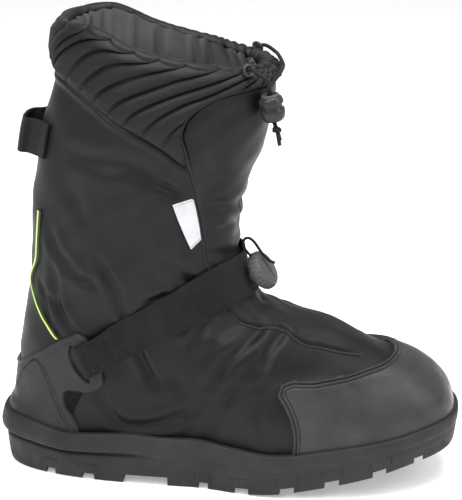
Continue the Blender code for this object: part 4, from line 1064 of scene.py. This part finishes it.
def solePlace(s, t):
    u = s % 1.0
    feather = onShell(u, np.full(len(u), 1.0), np.zeros(len(u)))
    outward = onShell(u, np.full(len(u), 1.0), np.full(len(u), 0.001)) - feather
    outward[:, 2] = 0
    x = feather[:, 0] + shell["middle"][0]
    atHeel = np.clip(1 - x / (0.34 * shell["length"]), 0, 1)**0.7
    out, heelOut, height = rowsAt(soleRows, t).T
    out = out + atHeel * heelOut
    # the groove under the ledge, round the heel only
    lip = (1 - softStep(x, 0.085, 0.130)) * np.exp(-((height - 0.575) / 0.035)**2)
    filled = np.maximum(out, 0.93 + 0.25 * (height - 0.42))
    out = np.where((height > 0.42) & (height < 0.62), filled, out) - soleSetup["heelLip"] * lip
    low, high = springHeight(x), rimHeight(x)
    z = low + height * (high - low)
    grain = 0.00012 * np.sin(x * 2 * np.pi / 0.0017) * softStep(height, 0.1, 0.2)
    grain *= 1 - softStep(height, 0.4, 0.5)
    point = feather + unitOf(outward) * (out * soleSetup["sidewall"] + grain)[:, None]
    point[:, 2] = z
    return point


def treadHeight(x):
    # where the tread is under a place of the finished boot
    return springHeight(np.array([x + shell["middle"][0]]))[0]


def newParts(made, kind):
    return [part for part in made["geom"] if isinstance(part, kind)]


def closeAcross(work, ring):
    # closes a long ring with strips from its lateral side to its medial one
    corners = {v for e in ring for v in e.verts}
    tips = {min(corners, key=lambda v: v.co.x), max(corners, key=lambda v: v.co.x)}
    body = [e for e in ring if not tips & set(e.verts)]
    bmesh.ops.bridge_loops(work, edges=body)
    for tip in tips:
        near = [e.other_vert(tip) for e in tip.link_edges if e in set(ring)]
        bmesh.ops.contextual_create(work, geom=[tip] + near)


def soleMesh():
    side = layGrid("soleSide", soleSetup["steps"], (len(soleRows) - 1) * 3, solePlace, (900, 40))
    work = bmesh.new()
    work.from_mesh(side)
    work.verts.ensure_lookup_table()
    lows = [e for e in work.edges if e.is_boundary]
    bottom = [e for e in lows if max(v.co.z for v in e.verts) < 0.0305
              and abs(e.verts[0].co.z - treadHeight(e.verts[0].co.x)) < 0.001]
    upper = [e for e in lows if e not in set(bottom)]
    closeAcross(work, bottom)
    # the rim turns in, then drops to the floor of the cup
    made = bmesh.ops.extrude_edge_only(work, edges=upper)
    for vert in newParts(made, bmesh.types.BMVert):
        vert.co = Vector((vert.co.x * 0.955, vert.co.y * 0.905, vert.co.z - 0.0004))
    made = bmesh.ops.extrude_edge_only(work, edges=newParts(made, bmesh.types.BMEdge))
    for vert in newParts(made, bmesh.types.BMVert):
        x = vert.co.x * 0.985
        vert.co = Vector((x, vert.co.y * 0.95, shell["cupFloor"] + treadHeight(x)))
    closeAcross(work, newParts(made, bmesh.types.BMEdge))
    bmesh.ops.recalc_face_normals(work, faces=work.faces)
    work.to_mesh(side)
    work.free()
    return side


def grooveCutter(name, x0, x1, y0, y1, deep, cuts):
    # a box below the tread that follows the spring of the toe
    work = bmesh.new()
    place = Matrix.Translation(((x0 + x1) / 2 - shell["middle"][0], (y0 + y1) / 2, 0))
    bmesh.ops.create_cube(work, size=1.0, matrix=place @ Matrix.Diagonal((x1 - x0, y1 - y0, 2.0, 1)))
    if cuts:
        runs = [e for e in work.edges if abs(e.verts[0].co.x - e.verts[1].co.x) > 1e-4]
        bmesh.ops.subdivide_edges(work, edges=runs, cuts=cuts, use_grid_fill=True)
    for vert in work.verts:
        vert.co.z = treadHeight(vert.co.x) + (deep if vert.co.z > 0 else -0.01)
    cutter = bpy.data.objects.new(name, meshFrom(work, name))
    bpy.context.scene.collection.objects.link(cutter)
    return cutter


def cutWith(piece, cutter):
    change = piece.modifiers.new("cut", "BOOLEAN")
    change.object = cutter
    change.operation = "DIFFERENCE"
    graph = bpy.context.evaluated_depsgraph_get()
    done = bpy.data.meshes.new_from_object(piece.evaluated_get(graph))
    piece.modifiers.clear()
    piece.data = done
    bpy.data.objects.remove(cutter)


tread = bpy.data.objects.new("outsoleRubber", soleMesh())
bpy.context.scene.collection.objects.link(tread)
reach, ridgeHalf = soleSetup["reach"], soleSetup["ridge"]
for start, end, deep, through in crossGrooves:
    for y0, y1 in ((-reach, reach),) if through else ((-reach, -ridgeHalf), (ridgeHalf, reach)):
        cutWith(tread, grooveCutter("crossCut", start * mm, end * mm, y0, y1, deep * mm, 2))
for y0, y1 in longGrooves:
    cutWith(tread, grooveCutter("longCut", *soleSetup["long"], y0, y1, soleSetup["longDeep"], 30))
soleData = tread.data
bpy.data.objects.remove(tread)
showPiece("outsoleRubber", soleData, "sole", ["outsole"])
soleData.set_sharp_from_angle(angle=math.radians(42))
shares = np.linspace(0.02, 0.48, 500)
featherX = onShell(shares, np.full(500, 1.0))[:, 0] + shell["middle"][0]


def wallPoint(x, height, side):
    u = np.interp(x * mm, featherX, shares)
    wall = rimHeight(x * mm) - springHeight(x * mm)
    points = solePlace(np.full(200, u if side > 0 else 1 - u), np.linspace(0, 0.75, 200))
    return points[np.argmin(np.abs(points[:, 2] - springHeight(x * mm) - min(height * mm, wall * 0.9)))]


blocks = bmesh.new()
for side in (1, -1):
    for a, b, low, high in soleBlocks:
        outline = [(a, low), (a, high - 1), (a + 1, high), (b - 1, high), (b, high - 1), (b, low)]
        points = smoothLine([wallPoint(x, h, side) for x, h in outline], 40)
        blocks.from_mesh(tubeAlong("block", points, soleSetup["blockLine"], 6))
showPiece("soleBlockLines", meshFrom(blocks, "soleBlockLines"), "sole")
print("outsole:", len(soleData.polygons), "faces")

# insole
insoleSetup = {"level": 0.12, "inset": -0.0034, "face": 0.0044, "wall": 0.0036}


def insolePlace(s, t):
    u = 0.002 + t * 0.496
    near, far = (onShell(place, insoleSetup["level"], insoleSetup["inset"]) for place in (u, 1 - u))
    point = near + s[:, None] * (far - near)
    x = point[:, 0] + shell["middle"][0]
    crown = 0.0006 * np.sin(np.pi * s) + 0.00025 * np.sin(x * 260) * np.sin(point[:, 1] * 240)
    edge = np.minimum(s, 1 - s) * 60
    sunk = 0.0008 * np.exp(-(edge / 0.9)**2)
    point[:, 2] = shell["cupFloor"] + springHeight(x) + insoleSetup["face"] - sunk + crown
    return point


def flatUp(mesh):
    work = bmesh.new()
    work.from_mesh(mesh)
    if sum(f.normal.z for f in work.faces) < 0:
        bmesh.ops.reverse_faces(work, faces=work.faces)
    work.to_mesh(mesh)
    work.free()


insoleMesh = layGrid("insolePad", 60, 150, insolePlace, (90, 290))
flatUp(insoleMesh)
insolePad = showPiece("insolePad", insoleMesh, "felt", ["insole"])
giveWall(insolePad, insoleSetup["wall"])

# piping, label and pull loop
pipingMarks = [(47.5, 106), (42, 114), (36, 123), (31.5, 133), (28.5, 145), (26.5, 160), (25.8, 176),
               (27, 196)]
pipingSetup = {"half": 0.0019, "out": 0.0013}
pipingUv = [list(pinned([m])[0]) if m[1] < 150 else [0.062 + m[1] * 0.0001, levelAt(m[1] * mm, 1)]
            for m in pipingMarks]
pipingUv = smoothLine(np.array(pipingUv) * (16, 1), 200) / (16, 1)


def pipingPlace(side):
    def place(s, t):
        u, v = rowsAt(pipingUv, t).T
        u = u if side > 0 else 1 - u
        middle = onShell(u, v)
        away = outOfShell(u, v)
        across = unitOf(np.cross(onShell(u, v + 0.02) - middle, away))
        w = 2 * s - 1
        crown = np.sqrt(np.clip(1 - np.abs(w)**2.4, 0, 1))
        rise = pipingSetup["out"] * crown + 0.0002 + 0.0006 * softStep(t, 0, 0.06)
        return middle + across * (w * pipingSetup["half"])[:, None] + away * rise[:, None]
    return place


for side, name in ((1, "Lateral"), (-1, "Medial")):
    mesh = layGrid("reflectivePiping" + name, 12, 200, pipingPlace(side), (1, 90))
    showPiece("reflectivePiping" + name, mesh, "piping", ["piping_" + name.lower()])

labelCorners = pinned([(149.6, 184.0), (141, 176.0), (144.2, 213.5), (130.5, 210)])


def labelPlace(s, t):
    right = labelCorners[0] + t[:, None] * (labelCorners[2] - labelCorners[0])
    left = labelCorners[1] + t[:, None] * (labelCorners[3] - labelCorners[1])
    uv = left + s[:, None] * (right - left)
    lift = 0.0012 + 0.0008 * (1 - s) * np.sin(np.pi * t) + 0.0004 * (1 - s)**2
    return onShell(uv[:, 0], uv[:, 1], lift)


labelMesh = layGrid("sideLabel", 24, 60, labelPlace, (14, 30))
giveWall(showPiece("sideLabel", labelMesh, "label", ["side_label"]), 0.0005)

loopSetup = {"low": 0.2325, "high": 0.2565, "wall": 0.0017, "half": 0.0009,
             "bend": [(0.0050, -0.0150), (0.0105, -0.0135), (0.0135, -0.0080), (0.0140, 0.0)]}


def loopPlan(level, count):
    back = onShell(0.0, level)[0]
    ends = [onShell(u, level, 0.0014) for u in (0.080, 0.068, 0.056)]
    half = np.array([[p[0], p[1]] for p in ends] + [[back - out, y] for out, y in loopSetup["bend"]])
    return smoothLine(np.concatenate([half, half[-2::-1] * (1, -1)]), count)


loopHeights = np.linspace(loopSetup["low"], loopSetup["high"], 5)
loopPlans = np.array([loopPlan(levelAt(height, 1), 160) for height in loopHeights])


def loopPlace(s, t):
    rows, columns = loopPlans.shape[:2]
    along, up = s * (columns - 1), t * (rows - 1)
    i, k = np.clip(along.astype(int), 0, columns - 2), np.clip(up.astype(int), 0, rows - 2)
    f, g = (along - i)[:, None], (up - k)[:, None]
    low = loopPlans[k, i] + f * (loopPlans[k, i + 1] - loopPlans[k, i])
    high = loopPlans[k + 1, i] + f * (loopPlans[k + 1, i + 1] - loopPlans[k + 1, i])
    plan = low + g * (high - low)
    run = loopPlans[k, np.minimum(i + 2, columns - 1)] - loopPlans[k, np.maximum(i - 2, 0)]
    plan = plan + unitOf(np.stack([-run[:, 1], run[:, 0]], 1)) * loopSetup["half"]
    z = loopSetup["low"] + t * (loopSetup["high"] - loopSetup["low"])
    return np.concatenate([plan, z[:, None]], 1)


loopMesh = layGrid("pullLoop", 160, 18, loopPlace, (70, 24))
giveWall(showPiece("pullLoop", loopMesh, "loopWebbing", ["pull_loop"]), loopSetup["wall"])
print("piping, label and pull loop")

# knob, cords and lock
knobSetup = {"seat": (0.490, 7.675, 0.0142), "tilt": (-0.091, -0.092, 0.144), "teeth": 26,
             "toothDeep": 0.045, "slitDeep": 0.0018}
knobAt = onShell(*knobSetup["seat"])
knobAxis = unitOf(outOfShell(*knobSetup["seat"][:2]) + np.array(knobSetup["tilt"]))
knobUp = unitOf(np.cross(knobAxis, (0, 1, 0)))
knobAcross = np.cross(knobUp, knobAxis)
knobProfile = [(0, 5.0), (1.2, 5.0), (2.4, 5.0), (3.6, 5.0), (4.8, 4.95), (6.0, 4.9), (7.2, 4.85),
               (8.4, 4.75), (9.6, 4.6), (10.4, 4.45), (10.9, 4.7), (11.6, 4.6), (12.3, 4.1), (13.0, 3.4),
               (13.5, 2.5), (13.8, 1.5), (13.95, 0.4), (13.95, -0.8), (13.8, -1.8), (13.3, -2.8),
               (12.6, -3.7), (11.6, -4.5), (10.5, -5.0), (8.0, -5.0), (5.4, -5.0), (5.2, -7.0), (5.0, -9.2),
               (2.5, -9.2), (0, -9.2)]
knobMesh = turnedMesh("adjusterKnob", knobProfile, 156)
knobShape = readPoints(knobMesh)
turnAngle = np.arctan2(knobShape[:, 1], knobShape[:, 0])
radius = np.hypot(knobShape[:, 0], knobShape[:, 1])
teeth = 0.5 + 0.5 * np.tanh(3 * np.sin(turnAngle * knobSetup["teeth"]))
atRim = softStep(radius, 0.0118, 0.0134)
knobShape[:, :2] *= (1 - knobSetup["toothDeep"] * atRim * teeth)[:, None]
slit = np.exp(-(knobShape[:, 0] / 0.0009)**4) * (1 - softStep(np.abs(knobShape[:, 1]), 0.0075, 0.0085))
knobShape[:, 2] -= knobSetup["slitDeep"] * slit * softStep(knobShape[:, 2], 0.003, 0.0045)
knobMesh.vertices.foreach_set("co", knobShape.ravel())
placeMesh(knobMesh, knobAt, (knobAcross, knobUp, knobAxis))
showPiece("adjusterKnob", knobMesh, "plastic", ["strap_button"])
knobMesh.set_sharp_from_angle(angle=math.radians(38))


def cordCurve(name, points, thick):
    line = bpy.data.curves.new(name, "CURVE")
    line.dimensions = "3D"
    line.bevel_depth = thick / 2
    line.bevel_resolution = 4
    line.use_fill_caps = True
    spline = line.splines.new("POLY")
    spline.points.add(len(points) - 1)
    for point, place in zip(spline.points, points):
        point.co = (*place, 1)
    spline.use_smooth = True
    line.materials.append(finishes["cord"])
    made = bpy.data.objects.new(name, line)
    bpy.context.scene.collection.objects.link(made)
    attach(made, "root")
    return made


cordThick = {"adjuster": 0.002, "drawcord": 0.0026}
knotSetup = {"reach": 0.0019, "thick": 0.0012}
# out along the knob's axis, up its face and across it, in millimetres
strapCordMarks = [(-0.2, 12.8, -1.6), (-0.9, 17.0, -2.2), (-0.7, 21.6, -2.7), (0.9, 25.2, -2.0),
                  (3.2, 26.3, -0.2), (5.0, 24.2, 1.7), (5.9, 20.0, 2.2), (6.2, 15.0, 1.6), (6.6, 10.0, 0.8),
                  (7.2, 6.0, 0.5), (8.4, 3.0, 0.6), (10.4, 0.2, 1.1)]
knobFrame = np.array([knobAxis, knobUp, knobAcross])
strapCordPath = knobAt + smoothLine(strapCordMarks, 40) @ knobFrame * mm
for _ in range(5):  # evens out the bends
    strapCordPath[1:-1] = (strapCordPath[:-2] + 2 * strapCordPath[1:-1] + strapCordPath[2:]) / 4
strapCord = cordCurve("adjusterCord", strapCordPath, cordThick["adjuster"])
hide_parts("strap_cord")

lockSetup = {"eyelet": (0.4018486, 14.617181), "eyeletLift": 0.0098, "halfLong": 0.0110,
             "seat": (0.435, 13.35, 0.0119), "axis": (0.16, 0.04, -0.98), "gripDeep": 0.018}
eyeU, eyeV = lockSetup["eyelet"]
lockAt = onShell(*lockSetup["seat"])
lockAxis = unitOf(np.array(lockSetup["axis"]))
acrossLock = unitOf(np.cross(lockAxis, (0, 0, 1)))
lockTurn = (acrossLock, np.cross(-lockAxis, acrossLock), -lockAxis)
eyeletProfile = [(0, -0.5), (1.6, -0.5), (2.2, -0.2), (2.5, 0.4), (2.9, 0.9), (3.5, 1.0), (4.1, 0.8),
                 (4.5, 0.2), (4.6, -0.5), (4.5, -0.9), (0, -0.9)]
for side, name in ((1, "Lateral"), (-1, "Medial")):
    u = eyeU if side > 0 else 1 - eyeU
    away = outOfShell(u, eyeV)
    first = unitOf(np.cross(away, (0, 0, 1)))
    mesh = turnedMesh("drawcordEyelet" + name, eyeletProfile, 40)
    placeMesh(mesh, onShell(u, eyeV, lockSetup["eyeletLift"]), (first, np.cross(away, first), away))
    showPiece("drawcordEyelet" + name, mesh, "lockPlastic", ["eyelet_" + name.lower()])

lockProfile = [(0, 5.6), (2.6, 5.6), (3.6, 6.0), (3.9, 7.4), (4.4, 8.0), (5.6, 8.0), (6.4, 7.6), (7.3, 6.8),
               (7.9, 5.6), (8.2, 4.4), (8.3, 3.2), (8.0, 2.6), (7.3, 2.4), (7.1, 1.2), (7.1, -0.2),
               (7.4, -0.8), (8.1, -1.0), (8.4, -1.6), (8.4, -3.4), (8.2, -5.2), (7.7, -6.9), (6.9, -8.2),
               (6.0, -9.0), (4.4, -9.0), (3.7, -8.2), (3.4, -6.6), (2.4, -6.2), (0, -6.2)]
plungerProfile = [(0, 7.0), (3.4, 7.0), (3.9, 7.4), (4.1, 8.4), (4.5, 9.0), (5.1, 9.2), (5.7, 8.9),
                  (6.0, 8.2), (5.9, 7.4), (5.2, 6.6), (0, 6.6)]
lockMesh = turnedMesh("cordLock", lockProfile, 96)
lockShape = readPoints(lockMesh)
turnAngle = np.arctan2(lockShape[:, 1], lockShape[:, 0])
gripBand = np.exp(-((lockShape[:, 2] + 0.0038) / 0.0022)**4)
lockShape[:, :2] *= (1 - lockSetup["gripDeep"] * gripBand * (0.5 + 0.5 * np.sin(turnAngle * 24)))[:, None]
lockMesh.vertices.foreach_set("co", lockShape.ravel())
placeMesh(lockMesh, lockAt, lockTurn)
showPiece("cordLock", lockMesh, "lockPlastic", ["cord_lock"])
plungerMesh = turnedMesh("lockPlunger", plungerProfile, 64)
placeMesh(plungerMesh, lockAt, lockTurn)
showPiece("lockPlunger", plungerMesh, "plastic")
lockMesh.set_sharp_from_angle(angle=math.radians(38))

for side, name in ((1, "Lateral"), (-1, "Medial")):
    u = eyeU if side > 0 else 1 - eyeU
    start = onShell(u, eyeV, 0.0108)
    away = outOfShell(u, eyeV)
    inLock = lockAt + acrossLock * (0.0018 * side)
    if side > 0:
        strand = [start - away * 0.0016, start + away * 0.0024, lockAt + (-0.0080, -0.0110, 0.0240),
                  lockAt + (-0.0020, -0.0075, 0.0190)]
    else:
        strand = [start - away * 0.0016, start + away * 0.0012, onShell(u - 0.016, eyeV, 0.0128),
                  onShell(0.550, top - 0.50, 0.0115), onShell(0.525, top - 0.52, 0.0110),
                  lockAt + (0.0050, 0.0290, 0.0220), lockAt + (0.0048, 0.0185, 0.0205),
                  lockAt + (0.0026, 0.0115, 0.0180)]
    end = lockAxis * lockSetup["halfLong"]
    strand += [inLock - end, inLock, inLock + end]
    spreadEnd = np.array((0.0010, -0.0022 * side, 0))
    strand += [inLock + lockAxis * 0.0160 + spreadEnd,
               inLock + lockAxis * 0.0190 + 2.4 * spreadEnd + (0, 0, -0.0055)]
    path = smoothLine(strand, 70)
    cord = cordCurve("drawcord" + name, path, cordThick["drawcord"])
    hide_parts("drawcord_" + name.lower())
    # an overhand knot near each end
    centre = path[-12]
    turns = np.linspace(0, 2 * np.pi, 40)
    wrap = np.stack([np.cos(turns * 1.7), np.sin(turns * 1.7), 0.45 * np.sin(turns)], 1)
    knotMesh = tubeAlong("drawcordKnot" + name, centre + knotSetup["reach"] * wrap, knotSetup["thick"], 10)
    knot = showPiece("drawcordKnot" + name, knotMesh, "cord")
print("knob, eyelets, lock and cords")

# stitching
# length, gap and thickness of the stitches of each seam
stitchSetup = {"collar": (0.0026, 0.0011, 0.00030), "strap": (0.0022, 0.0009, 0.00030),
               "label": (0.0012, 0.0006, 0.00018)}
stitches = bmesh.new()
for side in (1, -1):
    for drop in (0.0022, 0.0048):
        points, u, v = shellLine(collarSeam, 0.0022, 220, side)
        points = points + np.array([0, 0, -drop]) - outOfShell(u, v) * 0.0006
        stitchRow(stitches, points, outOfShell(u, v), *stitchSetup["collar"])
    # the sewn box that holds the strap's doubled end
    box = [(0.034, 0.14), (0.034, 0.86), (0.094, 0.86), (0.094, 0.14), (0.034, 0.14), (0.094, 0.86),
           (0.094, 0.14), (0.034, 0.86)]
    run = np.concatenate([np.linspace(a, b, 24) for a, b in zip(box, box[1:])])
    s = run[:, 0] if side > 0 else 1 - run[:, 0]
    u, v, lift = strapUv(s, run[:, 1])
    onStrap = onShell(u, v, lift + strapSetup["thick"] + 0.0014)
    stitchRow(stitches, onStrap, outOfShell(u, v), *stitchSetup["strap"])
offLabel = outOfShell(np.full(30, 0.3), np.full(30, 9.0))
for t in (0.04, 0.96):
    row = labelPlace(np.linspace(0.08, 0.92, 30), np.full(30, t))
    stitchRow(stitches, row + offLabel * 0.0002, offLabel, *stitchSetup["label"])
stitchMesh = meshFrom(stitches, "stitching")
showPiece("stitching", stitchMesh, "threadAndSeamShade")
print("stitching:", len(stitchMesh.polygons), "faces")

# floor
floorFinish, _, floorShader = startFinish("studioFloor", 0.9)
floorShader.inputs["Base Color"].default_value = (0.86, 0.86, 0.86, 1)
floorShader.inputs["Emission Color"].default_value = (1, 1, 1, 1)
floorShader.inputs["Emission Strength"].default_value = lightSetup["floor"]
work = bmesh.new()
bmesh.ops.create_grid(work, x_segments=1, y_segments=1, size=6)
floorMesh = meshFrom(work, "studioFloor")
floorMesh.materials.append(floorFinish)
floor = bpy.data.objects.new("studioFloor", floorMesh)
bpy.context.scene.collection.objects.link(floor)

print("pieces done")
